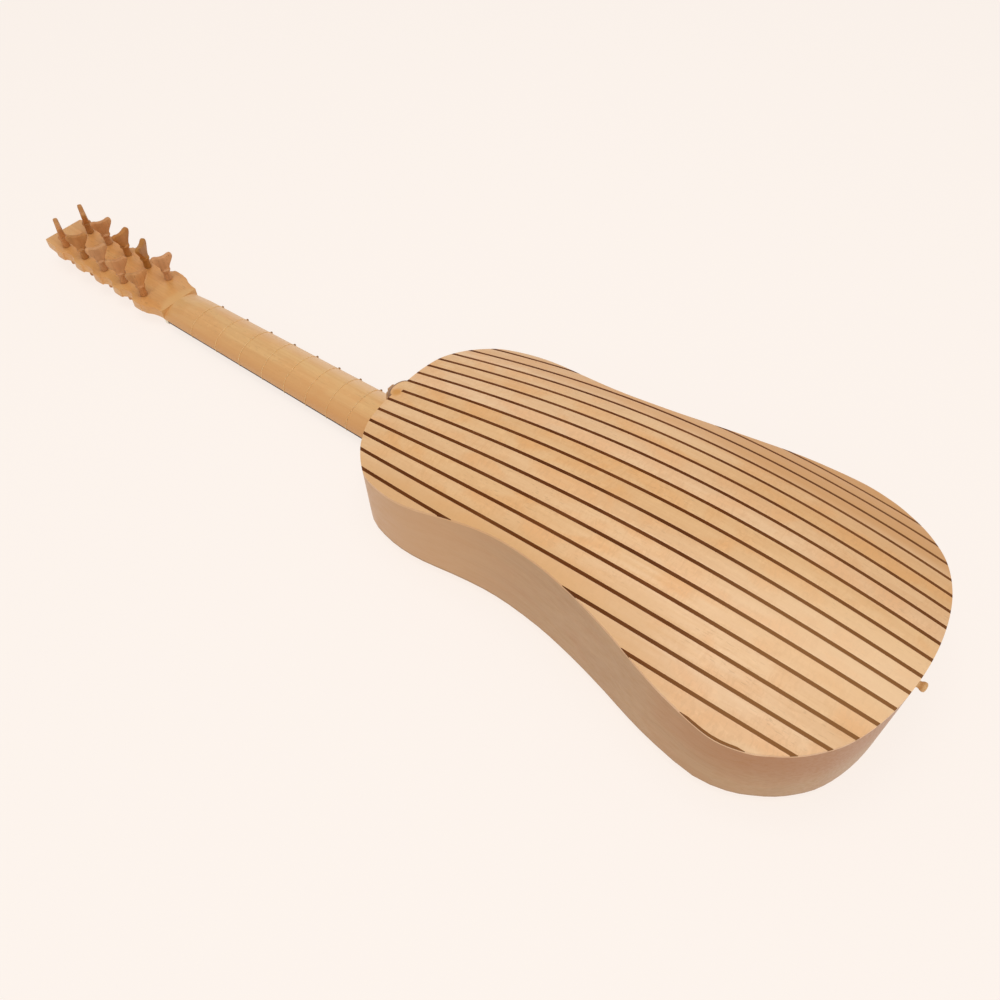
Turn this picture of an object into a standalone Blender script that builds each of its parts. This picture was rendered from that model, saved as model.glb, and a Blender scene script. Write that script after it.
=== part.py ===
"""Baroque guitar with a vaulted back of light staves and dark fillets.

The guitar lies face down: +X runs from the head to the tail, +Z from the soundboard to the back.
Shapes are worked out in millimetres, with the soundboard's outer face at z = 0 and the body's neck end
at x = 0, and written in metres. The parent empty then puts the origin under the middle of its box.
"""

import math

import bmesh
import bpy
import numpy as np
from mathutils import Matrix, Vector

MM = 0.001
GAP = 0.3  # clearance between pieces that touch
FACET_SAG = 0.2  # how far the vault's flat facets may lie from its true curve

# Body, in millimetres
BODY_LENGTH = 447.5
LOWER_BOUT = 247.8
WAIST = 176.8
UPPER_BOUT = 194.4
BODY_DEPTH = 103.2  # soundboard's face to the top of the vault
SOUNDBOARD_THICKNESS = 2.0
BACK_THICKNESS = 2.6
RIB_THICKNESS = 1.8
SOUNDHOLE_RADIUS = 40.0
SOUNDHOLE_PLACE = 158.0
BAR_HEIGHT = 12.0
BAR_WIDTH = 7.0
BLOCK_LENGTH = 16.0

# Vault of the back
VAULT_PEAK = 267.5  # distance of the highest point from the neck end
VAULT_REACH = 215.4  # along the body from the peak, where the next three sizes are taken
VAULT_DROP = 27.1
VAULT_EASE = 3.0  # how much of that drop the ends gain back
VAULT_OPENING = 0.12  # share of the cross curvature lost there
VAULT_CROSS_RADIUS = 235.3
VAULT_LIFT = 1.0e-8  # per cubic millimetre: the edges turn down less than an arc would

# Fillets of the back
FILLET_SIDE_COUNT = 8  # fillets on each side of the middle one
FILLET_PITCH = 15.5
FILLET_OFFSET = -6.4  # the middle fillet lies this far to the left of the body's middle
FILLET_WIDTH = 2.7
FILLET_DEPTH = 1.3
EDGE_FILLET = 1.5  # width of a fillet that runs along the edge
LEAST_FILLET = 30.0  # a shorter stretch is left out
GROOVE_RISE = 0.6  # how far a groove's cutter stands out of the back
GROOVE_SPARE = 0.42  # clearance on each side of a fillet
STAVE_TAPER = 0.112  # share of the pitch lost at VAULT_REACH from the peak
MIDDLE_FILLET_START = 5.0
TAB_REACH = 8.6  # half-round tab of the back over the heel
TAB_HALF_WIDTH = 12.4
TAB_CENTRE = -4.9

# Neck, fingerboard, nut and tied frets
STRING_LENGTH = 688.0
NECK_LENGTH = 310.0  # nut to body
NECK_WIDTH_NUT = 45.0
NECK_WIDTH_BODY = 53.5
NECK_THICKNESS = 17.0  # with the fingerboard, at the nut
NECK_SWELL = 4.0  # thickness gained at the body
FINGERBOARD_THICKNESS = 2.2
HEEL_LENGTH = 27.0
NUT_WIDTH = 4.5
NUT_PROUD = 2.6
TIED_FRETS = 8
FRET_GUT = 0.7

# Head and pegs
HEAD_TILT = math.radians(3.0)
HEAD_LENGTH = 190.0
HEAD_THICKNESS = 9.5
HEAD_SET_BACK = 3.2  # head's front face behind the fingerboard's
HEAD_EAR = 29.0  # half width at the first pair of pegs
HEAD_LOBE = 27.8  # half width at the other pegs
HEAD_DIP = 22.6  # half width between the pegs
HEAD_END = 23.0
NECK_EASE = 24.0  # stretch before the nut where the neck's back comes down to the head's
NECK_END = 5.4  # neck past the nut's edge, under the nut
PEG_FIRST = 33.8  # along the head, from its neck end
PEG_PITCH = 32.2
PEG_ROWS = (16.4, 15.6, 15.6, 15.6, 15.6)  # distance from the centre line, nearest the nut first
PEG_SHAFT_BACK = 3.4
PEG_SHAFT_TIP = 2.4
PEG_STUB = 3.8
PEG_STUB_HEIGHT = 12.5
PEG_WING_HEIGHT = 18.5
PEG_WING_WIDTH = 21.5
PEG_WING_THICKNESS = 6.4
PEG_ANGLES_FAR = (70, 122, 100, 70, -25)  # degrees the wings are turned, nearest the nut first
PEG_ANGLES_NEAR = (70, 60, 65, 55, -25)

# Bridge and strings
BRIDGE_HEIGHT = 9.0
BRIDGE_WIDTH = 12.0
BRIDGE_LENGTH = 92.0
STRING_GAUGE = 0.7
STRING_HEIGHT_NUT = 2.0
STRING_HEIGHT_BRIDGE = 6.0
COURSE_SPACING_NUT = 7.3
COURSE_SPACING_BRIDGE = 16.0
PAIR_SPACING_NUT = 2.6
PAIR_SPACING_BRIDGE = 3.6
WINDING_TURNS = 3
WINDING_STEPS = 12
WINDING_PITCH = 1.2
WINDING_START = 5.4  # in front of the head's front face

# End button
BUTTON_HEIGHT = 46.0
BUTTON_STEM_RADIUS = 2.3
BUTTON_HEAD_RADIUS = 3.7
BUTTON_PROUD = 8.2

COLOURS = {
    "stave_wood": ((0.78, 0.56, 0.33), 0.45),
    "fillet_wood": ((0.13, 0.05, 0.02), 0.45),
    "rib_wood": ((0.62, 0.42, 0.25), 0.45),
    "neck_wood": ((0.70, 0.45, 0.20), 0.45),
    "spruce": ((0.80, 0.62, 0.38), 0.5),
    "ebony": ((0.03, 0.02, 0.02), 0.4),
    "bone": ((0.85, 0.80, 0.68), 0.35),
    "peg_wood": ((0.50, 0.26, 0.11), 0.4),
    "gut": ((0.80, 0.68, 0.42), 0.4),
    "parchment": ((0.80, 0.70, 0.50), 0.6),
}


def clear_scene():
    for obj in list(bpy.data.objects):
        bpy.data.objects.remove(obj)


def make_material(name):
    colour, roughness = COLOURS[name]
    material = bpy.data.materials.new(name)
    material.use_nodes = True
    shader = material.node_tree.nodes["Principled BSDF"]
    shader.inputs["Base Color"].default_value = (*colour, 1.0)
    shader.inputs["Roughness"].default_value = roughness
    shader.inputs["Metallic"].default_value = 0.0
    material.diffuse_color = (*colour, 1.0)
    return material


def material_of(name):
    return bpy.data.materials.get(name) or make_material(name)


def new_object(name, mesh, material, parent=None, smooth=30.0):
    """An object of the model, shaded smooth except at edges sharper than the given angle."""
    obj = bpy.data.objects.new(name, mesh)
    MODEL.objects.link(obj)
    obj.parent = parent or ROOT
    if not mesh.materials:
        mesh.materials.append(material_of(material))
    mesh.shade_smooth()
    mesh.set_sharp_from_angle(angle=math.radians(smooth))
    return obj


def cutter(name, mesh, parent=None, matrix=None):
    obj = bpy.data.objects.new(name, mesh)
    CUTTERS.objects.link(obj)
    obj.parent = parent or ROOT
    if matrix is not None:
        obj.matrix_local = matrix
    obj.hide_render = True
    obj.display_type = "WIRE"
    return obj


def boolean(obj, other, operation="DIFFERENCE"):
    modifier = obj.modifiers.new(f"{operation.lower()}_{other.name}", "BOOLEAN")
    modifier.operation = operation
    modifier.solver = "EXACT"
    modifier.object = other


def thicken(obj, thickness):
    """Solidify, away from the side that the faces look to."""
    modifier = obj.modifiers.new("thickness", "SOLIDIFY")
    modifier.thickness = thickness * MM
    modifier.offset = -1.0
    modifier.use_even_offset = True


def soften(obj, width, angle=40.0):
    modifier = obj.modifiers.new("soft_edges", "BEVEL")
    modifier.width = width * MM
    modifier.segments = 1
    modifier.limit_method = "ANGLE"
    modifier.angle_limit = math.radians(angle)


def mesh_from_bmesh(name, bm):
    mesh = bpy.data.meshes.new(name)
    bm.to_mesh(mesh)
    bm.free()
    return mesh


def box(name, x, y, z):
    """A box between the given pairs of limits."""
    spans = (x, y, z)
    size = Matrix.Diagonal([(high - low) * MM for low, high in spans] + [1.0])
    middle = Matrix.Translation([(high + low) / 2 * MM for low, high in spans])
    bm = bmesh.new()
    bmesh.ops.create_cube(bm, size=1.0, matrix=middle @ size)
    return mesh_from_bmesh(name, bm)


def rod(name, radius, low, high, sides=16):
    """An upright cylinder on the origin."""
    bm = bmesh.new()
    bmesh.ops.create_cone(
        bm,
        cap_ends=True,
        segments=sides,
        radius1=radius * MM,
        radius2=radius * MM,
        depth=(high - low) * MM,
        matrix=Matrix.Translation((0, 0, (low + high) / 2 * MM)),
    )
    return mesh_from_bmesh(name, bm)


def raise_faces(bm, height):
    """Extrudes every face of an open sheet straight up, or down, into a closed solid."""
    made = bmesh.ops.extrude_face_region(bm, geom=bm.faces[:], use_keep_orig=True)
    moved = [item for item in made["geom"] if isinstance(item, bmesh.types.BMVert)]
    bmesh.ops.translate(bm, verts=moved, vec=(0, 0, height * MM))
    bmesh.ops.recalc_face_normals(bm, faces=bm.faces)


def plate(name, points, low, high):
    """A flat outline extruded from one height to another."""
    bm = bmesh.new()
    bm.faces.new([bm.verts.new((x * MM, y * MM, low * MM)) for x, y in points])
    raise_faces(bm, high - low)
    return mesh_from_bmesh(name, bm)


def turn(obj, steps):
    """Screw modifier that turns an open profile about Z."""
    modifier = obj.modifiers.new("turned", "SCREW")
    modifier.axis = "Z"
    modifier.angle = 2 * math.pi
    modifier.steps = steps
    modifier.render_steps = steps
    modifier.use_merge_vertices = True
    modifier.merge_threshold = 0.00005
    modifier.use_smooth_shade = True


def profile_mesh(name, profile):
    """Open profile of (radius, height) pairs that run down the outer side, from the axis to the axis."""
    points = [(0.0, profile[0][1])] + profile + [(0.0, profile[-1][1])]
    bm = bmesh.new()
    verts = [bm.verts.new((radius * MM, 0, height * MM)) for radius, height in points]
    for first, second in zip(verts, verts[1:]):
        bm.edges.new((first, second))
    return mesh_from_bmesh(name, bm)


def loft_mesh(name, rings):
    """A skin through unlike sections of as many points each, capped at both ends."""
    bm = bmesh.new()
    loops = [[bm.verts.new([c * MM for c in point]) for point in ring] for ring in rings]
    count = len(loops[0])
    for first, second in zip(loops, loops[1:]):
        for i in range(count):
            j = (i + 1) % count
            bm.faces.new((first[i], first[j], second[j], second[i]))
    bm.faces.new(loops[0][::-1])
    bm.faces.new(loops[-1])
    bmesh.ops.triangulate(bm, faces=bm.faces)
    bmesh.ops.recalc_face_normals(bm, faces=bm.faces)
    return mesh_from_bmesh(name, bm)


def catmull_rom(points, steps):
    """A smooth open curve through the points."""
    padded = [2 * np.array(points[0]) - np.array(points[1])]
    padded += [np.array(p, float) for p in points]
    padded.append(2 * np.array(points[-1]) - np.array(points[-2]))
    curve = []
    for a, b, c, d in zip(padded, padded[1:], padded[2:], padded[3:]):
        for i in range(steps):
            t = i / steps
            curve.append(
                0.5 * ((2 * b) + (c - a) * t + (2 * a - 5 * b + 4 * c - d) * t**2 + (3 * b - a - 3 * c + d) * t**3)
            )
    curve.append(padded[-2])
    return curve


def outline_half(steps=2):
    """Half of the body's outline, from the tail's middle round to the neck end's middle."""
    lower, waist, upper = LOWER_BOUT / 2, WAIST / 2, UPPER_BOUT / 2
    shares = [
        (1.0, 0.0),
        (0.998, lower * 0.16),
        (0.992, lower * 0.32),
        (0.983, lower * 0.452),
        (0.97, lower * 0.577),
        (0.954, lower * 0.682),
        (0.934, lower * 0.767),
        (0.912, lower * 0.84),
        (0.883, lower * 0.908),
        (0.849, lower * 0.966),
        (0.797, lower),
        (0.726, lower * 0.967),
        (0.67, lower * 0.92),
        (0.614, lower * 0.86),
        (0.559, lower * 0.807),
        (0.509, waist * 1.075),
        (0.458, waist * 1.03),
        (0.391, waist),
        (0.335, waist * 1.003),
        (0.273, waist * 1.04),
        (0.212, upper * 0.99),
        (0.163, upper),
        (0.116, upper * 0.972),
        (0.075, upper * 0.905),
        (0.038, upper * 0.751),
        (0.0168, upper * 0.602),
        (0.0058, upper * 0.473),
        (0.0018, upper * 0.34),
        (0.0, upper * 0.206),
        (0.0, 0.0),
    ]
    control = [(share * BODY_LENGTH, y) for share, y in shares]
    mirrored = [(control[1][0], -control[1][1])] + control + [(control[-2][0], -control[-2][1])]
    curve = catmull_rom(mirrored, steps)
    return [tuple(p) for p in curve[steps:-steps]]


def inset_half(distance):
    """The half outline moved inwards."""
    points = np.array(outline_half())
    tangent = np.gradient(points, axis=0)
    tangent[0] = (0, 1)
    tangent[-1] = (0, -1)
    tangent /= np.linalg.norm(tangent, axis=1)[:, None]
    normal = np.stack([-tangent[:, 1], tangent[:, 0]], 1)
    return [tuple(p) for p in points + normal * distance]


def full_outline():
    half = outline_half()
    return half + [(x, -y) for x, y in reversed(half[1:-1])]


def outline_with_tab():
    """The outline of the back, which carries a half-round tab over the heel."""
    body = full_outline()
    covered = [i for i, (x, y) in enumerate(body) if x < 5.0 and abs(y - TAB_CENTRE) < TAB_HALF_WIDTH + 1.0]
    angles = np.linspace(0, math.pi, 13)
    tab = [(0.2 - TAB_REACH * math.sin(a), TAB_CENTRE + TAB_HALF_WIDTH * math.cos(a)) for a in angles]
    return body[: covered[0]] + tab + body[covered[-1] + 1 :]


def along_share(x):
    return (x - VAULT_PEAK) / VAULT_REACH


def cross_bend(x):
    return (1 - VAULT_OPENING * along_share(x) ** 2) / (2 * VAULT_CROSS_RADIUS)


def vault_point(x, arc):
    """The point of the back's outer face that far round the vault from the body's middle plane."""
    bend = cross_bend(x)
    ridge = BODY_DEPTH - VAULT_DROP * along_share(x) ** 2 + VAULT_EASE * along_share(x) ** 4
    return (x, arc - 2 / 3 * bend**2 * arc**3, ridge - bend * arc**2 + VAULT_LIFT * arc**4)


def arc_to(x, y):
    """How far round the vault the point over x and y lies."""
    arc = y
    for _ in range(6):
        arc += y - vault_point(x, arc)[1]
    return arc


def back_height(x, y):
    return vault_point(x, arc_to(x, y))[2]


def steepness(x, y):
    """Vertical thickness of a sheet on the vault, as a multiple of its true thickness."""
    along = back_height(x + 0.5, y) - back_height(x - 0.5, y)
    across = back_height(x, y + 0.5) - back_height(x, y - 0.5)
    return math.sqrt(1 + along**2 + across**2)


def under_back(x, y):
    return back_height(x, y) - BACK_THICKNESS * steepness(x, y) - FACET_SAG - GAP


def fillet_arc(x, k):
    """Where fillet k runs. The staves narrow towards both ends."""
    return k * FILLET_PITCH * (1 - STAVE_TAPER * along_share(x) ** 2) + FILLET_OFFSET


def half_width(x):
    half = sorted(outline_half())
    return float(np.interp(x, [p[0] for p in half], [p[1] for p in half]))


def lies_on_edge(k):
    """Whether fillet k runs along the edge of the lower bout."""
    place = 0.797 * BODY_LENGTH
    spare = arc_to(place, LOWER_BOUT / 2) - abs(fillet_arc(place, k)) - FILLET_WIDTH / 2
    return -FILLET_WIDTH < spare < 2.0


def fillet_edges(x, k, spare=0.0):
    """The two edges of fillet k. One on the edge of the back is thin, and the outline cuts its far side."""
    middle = fillet_arc(x, k)
    reach = FILLET_WIDTH / 2 + spare
    if not lies_on_edge(k):
        return [middle - reach, middle + reach]
    inner = max(abs(middle) - reach, arc_to(x, half_width(x)) - EDGE_FILLET - spare)
    outer = abs(middle) + 8.0
    return [inner, outer] if k > 0 else [-outer, -inner]


def vault_sheet(name, stations, lines, drop):
    """An open sheet on the vault, with grid lines at the stations and at the arcs that lines gives for x."""
    rows, columns = len(stations), len(lines(0.0))
    bm = bmesh.new()
    bmesh.ops.create_grid(bm, x_segments=rows - 1, y_segments=columns - 1, size=1.0)
    for vert in bm.verts:
        x = stations[round((vert.co.x + 1) / 2 * (rows - 1))]
        arc = lines(x)[round((vert.co.y + 1) / 2 * (columns - 1))]
        x, y, z = vault_point(x, arc)
        vert.co = (x * MM, y * MM, (z - (drop(x, y) if callable(drop) else drop)) * MM)
    return bm


def stave_lines(x):
    """Creases under the fillets, so that each stave is flat across, and one line beyond each edge."""
    count = FILLET_SIDE_COUNT
    edge = max(LOWER_BOUT / 2 + 22.0, (count + 1) * FILLET_PITCH + abs(FILLET_OFFSET))
    return [-edge] + [fillet_arc(x, k) for k in range(-count, count + 1)] + [edge]


def make_under_vault():
    """All the room under the back, as a cutter."""
    bm = vault_sheet("under_vault", STATIONS, stave_lines, lambda x, y: back_height(x, y) - under_back(x, y))
    raise_faces(bm, -150.0)
    return cutter("under_vault", mesh_from_bmesh("under_vault", bm))


def fillet_stations(k, x0, x1):
    """The back's stations within the fillet, or closer ones where it bends along the edge."""
    if lies_on_edge(k):
        return [float(x) for x in np.linspace(x0, x1, 13)]
    return [x0] + [x for x in STATIONS if x0 + 2.0 < x < x1 - 2.0] + [x1]


def make_back():
    """The staves: one sheet, cut to the outline and grooved for the fillets."""
    mesh = mesh_from_bmesh("back_staves", vault_sheet("back_staves", STATIONS, stave_lines, 0.0))
    back = new_object("back_staves", mesh, "stave_wood")
    thicken(back, BACK_THICKNESS)
    boolean(back, cutter("back_prism", plate("back_prism", outline_with_tab(), -20.0, BODY_DEPTH + 20.0)), "INTERSECT")
    for k in range(-FILLET_SIDE_COUNT, FILLET_SIDE_COUNT + 1):
        for part, x0, x1 in fillet_spans(k):
            name = f"groove_{k}{part}"
            places = [x0 - 2 * GAP] + fillet_stations(k, x0, x1)
            bm = vault_sheet(name, places, lambda x: fillet_edges(x, k, GROOVE_SPARE), -GROOVE_RISE)
            groove = cutter(name, mesh_from_bmesh(name, bm))
            thicken(groove, GROOVE_RISE + FILLET_DEPTH + GAP)
            boolean(back, groove)


def make_fillets():
    """Dark strips let into the staves. One on each side leaves the outline at the waist, so it is two pieces."""
    for k in range(-FILLET_SIDE_COUNT, FILLET_SIDE_COUNT + 1):
        for part, x0, x1 in fillet_spans(k):
            side = "centre" if k == 0 else f"{'left' if k < 0 else 'right'}_{abs(k)}"
            name = f"fillet_{side}{part}"
            bm = vault_sheet(name, fillet_stations(k, x0, x1), lambda x: fillet_edges(x, k), 0.0)
            strip = new_object(name, mesh_from_bmesh(name, bm), "fillet_wood")
            thicken(strip, FILLET_DEPTH)
            boolean(strip, PRISM, "INTERSECT")


def fillet_spans(k):
    """The stretches along x where fillet k lies within the outline, a little long at each end."""
    runs = []
    before = False
    for x in np.linspace(1.0, BODY_LENGTH - 1.0, 200):
        inner = abs(fillet_arc(x, k)) - FILLET_WIDTH / 2
        here = inner < arc_to(x, half_width(x)) - 1.0
        if here and not before:
            runs.append([x, x])
        if here:
            runs[-1][1] = x
        before = here
    runs = [run for run in runs if run[1] - run[0] > LEAST_FILLET]
    if not runs:
        return []
    start = MIDDLE_FILLET_START if k == 0 else -0.3 if abs(k) < 2 else runs[0][0] - 8.0
    if len(runs) == 1:
        return [("", start, runs[0][1] + 8.0)]
    middle = (runs[0][1] + runs[1][0]) / 2
    return [("_upper", start, middle), ("_lower", middle, runs[1][1] + 8.0)]


def make_ribs():
    """Two bent sides between the soundboard and the back, butted at the tail and at the heel."""
    outer, inner = outline_half(), inset_half(RIB_THICKNESS)
    for name, side in (("rib_right", 1), ("rib_left", -1)):
        ring = [(x, side * max(y, GAP / 2)) for x, y in outer + inner[::-1]]
        rib = new_object(name, plate(name, ring, SOUNDBOARD_THICKNESS + GAP, BODY_DEPTH), "rib_wood")
        boolean(rib, UNDER_VAULT, "INTERSECT")
        boolean(rib, BUTTON_HOLE)


def make_soundboard():
    board = new_object("soundboard", plate("soundboard", full_outline(), 0.0, SOUNDBOARD_THICKNESS), "spruce")
    place = Matrix.Translation((SOUNDHOLE_PLACE * MM, 0, 0))
    boolean(board, cutter("soundhole", rod("soundhole", SOUNDHOLE_RADIUS, -10.0, 10.0, 36), matrix=place))
    reach = WAIST / 2 - 12.0
    for label, middle in (("upper", SOUNDHOLE_PLACE - 52.0), ("lower", SOUNDHOLE_PLACE + 56.0)):
        bar = box(
            f"{label}_bar",
            (middle - BAR_WIDTH / 2, middle + BAR_WIDTH / 2),
            (-reach, reach),
            (SOUNDBOARD_THICKNESS - 0.5, SOUNDBOARD_THICKNESS + BAR_HEIGHT),
        )
        boolean(board, cutter(f"{label}_bar", bar), "UNION")


def make_rose():
    """A pierced disc glued behind the soundhole: rings of round openings."""
    low = SOUNDBOARD_THICKNESS + GAP
    rose = new_object("rose", rod("rose", SOUNDHOLE_RADIUS + 4.0, low, low + 1.0, 36), "parchment")
    rose.location = (SOUNDHOLE_PLACE * MM, 0, 0)
    rings = ((0.0, 1, 4.6), (12.6, 6, 4.4), (26.0, 12, 5.0))
    for ring, (reach, count, radius) in enumerate(rings):
        for i in range(count):
            angle = 2 * math.pi * (i + 0.5 * (ring % 2)) / count
            place = Matrix.Translation(
                ((SOUNDHOLE_PLACE + reach * math.cos(angle)) * MM, reach * math.sin(angle) * MM, 0)
            )
            name = f"pierced_{ring}_{i}"
            hole = cutter(name, rod(name, radius, -8.0, 12.0, 10), matrix=place @ Matrix.Rotation(angle, 4, "Z"))
            boolean(rose, hole)


def make_blocks():
    """Blocks inside the body at the neck and at the tail."""
    inner = inset_half(RIB_THICKNESS + GAP)
    low = SOUNDBOARD_THICKNESS + GAP
    tail = [p for p in inner if p[0] > BODY_LENGTH * 0.8 and p[1] < 30.0]
    front = BODY_LENGTH - RIB_THICKNESS - GAP - BLOCK_LENGTH
    edge = tail[-1][1]
    points = [(front, -edge)] + [(x, -y) for x, y in reversed(tail[1:])] + tail + [(front, edge)]
    block = new_object("end_block", plate("end_block", points, low, BODY_DEPTH), "spruce")
    boolean(block, UNDER_VAULT, "INTERSECT")
    boolean(block, BUTTON_HOLE)
    head = [p for p in inner if p[0] < 20.0 and p[1] < 30.0]
    far = RIB_THICKNESS + GAP + BLOCK_LENGTH + 4.0
    points = head + [(x, -y) for x, y in reversed(head[:-1])] + [(far, -head[0][1]), (far, head[0][1])]
    block = new_object("neck_block", plate("neck_block", points, low, BODY_DEPTH), "spruce")
    boolean(block, UNDER_VAULT, "INTERSECT")


def make_button():
    """Turned end button on the centre line of the tail."""
    stem, head, proud = BUTTON_STEM_RADIUS, BUTTON_HEAD_RADIUS, BUTTON_PROUD
    profile = [
        (head * 0.45, proud),
        (head * 0.84, proud - 0.8),
        (head, proud - 2.2),
        (head * 0.96, proud - 4.2),
        (head * 0.7, proud - 5.8),
        (stem * 1.2, proud - 7.0),
        (stem * 1.35, GAP + 0.3),
        (stem, GAP + 0.2),
        (stem * 0.85, -BLOCK_LENGTH * 0.7),
    ]
    button = new_object("end_button", profile_mesh("end_button", profile), "neck_wood")
    button.matrix_local = BUTTON_PLACE
    turn(button, 16)


def neck_width(x):
    return NECK_WIDTH_NUT + (NECK_WIDTH_BODY - NECK_WIDTH_NUT) * (x + NECK_LENGTH) / NECK_LENGTH


def neck_depth(x):
    """Depth of the neck's rounded back behind the fingerboard's joint."""
    plain = NECK_THICKNESS - FINGERBOARD_THICKNESS - GAP + NECK_SWELL * (x + NECK_LENGTH) / NECK_LENGTH
    if x < NECK_EASE - NECK_LENGTH:
        level = HEAD_SET_BACK + HEAD_THICKNESS - FINGERBOARD_THICKNESS - GAP
        u = min(1.0, (NECK_EASE - NECK_LENGTH - x) / (NECK_EASE + NECK_END))
        return plain + (level - plain) * u * u * (3 - 2 * u)
    if x <= -HEEL_LENGTH:
        return plain
    u = min(1.0, (x + HEEL_LENGTH) / (HEEL_LENGTH - TAB_REACH + 1.0))
    return plain + (back_height(0.0, 0.0) * 1.25 - plain) * u**2.2


def heel_ceiling(x):
    """The heel stops under the tab."""
    return back_height(x, TAB_CENTRE) - BACK_THICKNESS * 1.12 - FACET_SAG - 2 * GAP


def neck_section(x, offset=0.0, count=14):
    """The neck's rounded back at x, from one edge of the fingerboard to the other, as (y, z) pairs."""
    half = neck_width(x) / 2 + offset
    deep = neck_depth(x) + offset
    base = FINGERBOARD_THICKNESS + GAP
    top = heel_ceiling(x) if x > -HEEL_LENGTH else 1e9
    points = []
    for i in range(count + 1):
        angle = math.pi * i / count
        z = min(base + deep * math.sin(angle) ** 0.92, top)
        y = half * math.cos(angle)
        if x > -HEEL_LENGTH:
            rise = max(0.0, (z - base - 12.0) / (heel_ceiling(0.0) - base - 12.0))
            tab = TAB_HALF_WIDTH * math.sqrt(max(0.0, 1 - (x / (TAB_REACH + 1.5)) ** 2)) if x > -TAB_REACH else 3.0
            y += rise**1.5 * (TAB_CENTRE + max(-tab, min(tab, y)) - y)
        points.append((y, z))
    return points


def make_neck():
    head_end = -NECK_LENGTH - NECK_END
    shares = (1, 0.84, 0.7, 0.58, 0.48, 0.4, 0.32, 0.24, 0.16, 0.08)
    stations = [head_end] + [NECK_EASE * share - NECK_LENGTH for share in (0.0, 0.25, 0.5, 0.75, 1.0)]
    stations += [-NECK_LENGTH * 0.6, -NECK_LENGTH * 0.3]
    rings = []
    for x in stations + [-HEEL_LENGTH * share for share in shares] + [-GAP]:
        ring = []
        for y, z in neck_section(x):
            lean = (z - HEAD_SET_BACK) * math.tan(HEAD_TILT) if x == head_end else 0.0
            ring.append((x + lean, y, z))
        rings.append(ring)
    new_object("neck", loft_mesh("neck", rings), "neck_wood", smooth=40.0)


def make_fingerboard():
    wide, narrow = NECK_WIDTH_BODY / 2, NECK_WIDTH_NUT / 2
    points = [(-NECK_LENGTH, -narrow), (-GAP, -wide), (-GAP, wide), (-NECK_LENGTH, narrow)]
    board = new_object("fingerboard", plate("fingerboard", points, 0.0, FINGERBOARD_THICKNESS), "ebony")
    soften(board, 0.4)


def string_places(course_spacing, pair_spacing):
    """Distances of the ten strings from the centre line, the middle course's outwards on one side."""
    side = [pair_spacing / 2]
    for course in (1, 2):
        side += [course * course_spacing - pair_spacing / 2, course * course_spacing + pair_spacing / 2]
    return side


def make_nut():
    x0, x1 = -NECK_LENGTH - NUT_WIDTH - GAP, -NECK_LENGTH - GAP
    half = NECK_WIDTH_NUT / 2 - 0.4
    nut = new_object("nut", box("nut", (x0, x1), (-half, half), (-NUT_PROUD, FINGERBOARD_THICKNESS)), "bone")
    floor = -STRING_HEIGHT_NUT + STRING_GAUGE / 2 + GAP
    reach = STRING_GAUGE / 2 + GAP
    for i, y in enumerate(string_places(COURSE_SPACING_NUT, PAIR_SPACING_NUT)):
        for side, label in ((1, "right"), (-1, "left")):
            name = f"nut_slot_{label}_{i}"
            slot = box(name, (x0 - 2, x1 + 2), (side * y - reach, side * y + reach), (-NUT_PROUD - 2, floor))
            boolean(nut, cutter(name, slot))


def make_tube(name, path, radius, closed, place=(0, 0, 0)):
    """A gut tube along straight stretches between the points, which are in metres."""
    curve = bpy.data.curves.new(name, "CURVE")
    curve.dimensions = "3D"
    curve.bevel_depth = radius * MM
    curve.bevel_resolution = 0
    curve.use_fill_caps = not closed
    spline = curve.splines.new("POLY")
    spline.points.add(len(path) - 1)
    for point, spot in zip(spline.points, path):
        point.co = (*spot, 1)
    spline.use_cyclic_u = closed
    curve.materials.append(material_of("gut"))
    tube = bpy.data.objects.new(name, curve)
    MODEL.objects.link(tube)
    tube.parent = ROOT
    tube.location = place


def make_tied_frets():
    """Gut loops round the neck at equal-tempered distances from the nut."""
    radius = FRET_GUT / 2
    for n in range(1, TIED_FRETS + 1):
        x = -NECK_LENGTH + STRING_LENGTH * (1 - 2 ** (-n / 12))
        off = GAP + radius
        half = neck_width(x) / 2 + off
        loop = neck_section(x, off, 12)
        loop += [(-half, -off * 0.6), (-half + 1.2, -off), (half - 1.2, -off), (half, -off * 0.6)]
        make_tube(f"tied_fret_{n}", [(0, y * MM, z * MM) for y, z in loop], radius, True, (x * MM, 0, 0))


def head_outline():
    """The head's outline: an ear at the first pegs, a lobe at each later pair and an angular far end."""
    start = neck_width(-NECK_LENGTH) / 2
    side = [(0.0, start), (6.0, start + 0.6), (13.0, start + 2.4), (19.0, start + 5.2), (24.0, HEAD_EAR - 0.6)]
    side += [(26.0, HEAD_EAR), (37.0, HEAD_EAR), (39.5, HEAD_EAR - 2.2)]
    for i in range(1, 5):
        peg = PEG_FIRST + PEG_PITCH * i
        before, lobe = peg - PEG_PITCH / 2, HEAD_LOBE - 0.3 * i
        side += [(before - 5.5, HEAD_DIP + 0.9), (before, HEAD_DIP), (before + 5.0, HEAD_DIP + 0.9)]
        side += [(peg - 7.5, lobe - 1.8), (peg - 6.0, lobe), (peg + 5.0, lobe), (peg + 7.0, lobe - 1.8)]
    side += [(HEAD_LENGTH - 14.0, HEAD_DIP + 1.5), (HEAD_LENGTH - 1.5, HEAD_END), (HEAD_LENGTH, HEAD_END - 1.5)]
    return side + [(x, -y) for x, y in reversed(side)]


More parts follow.
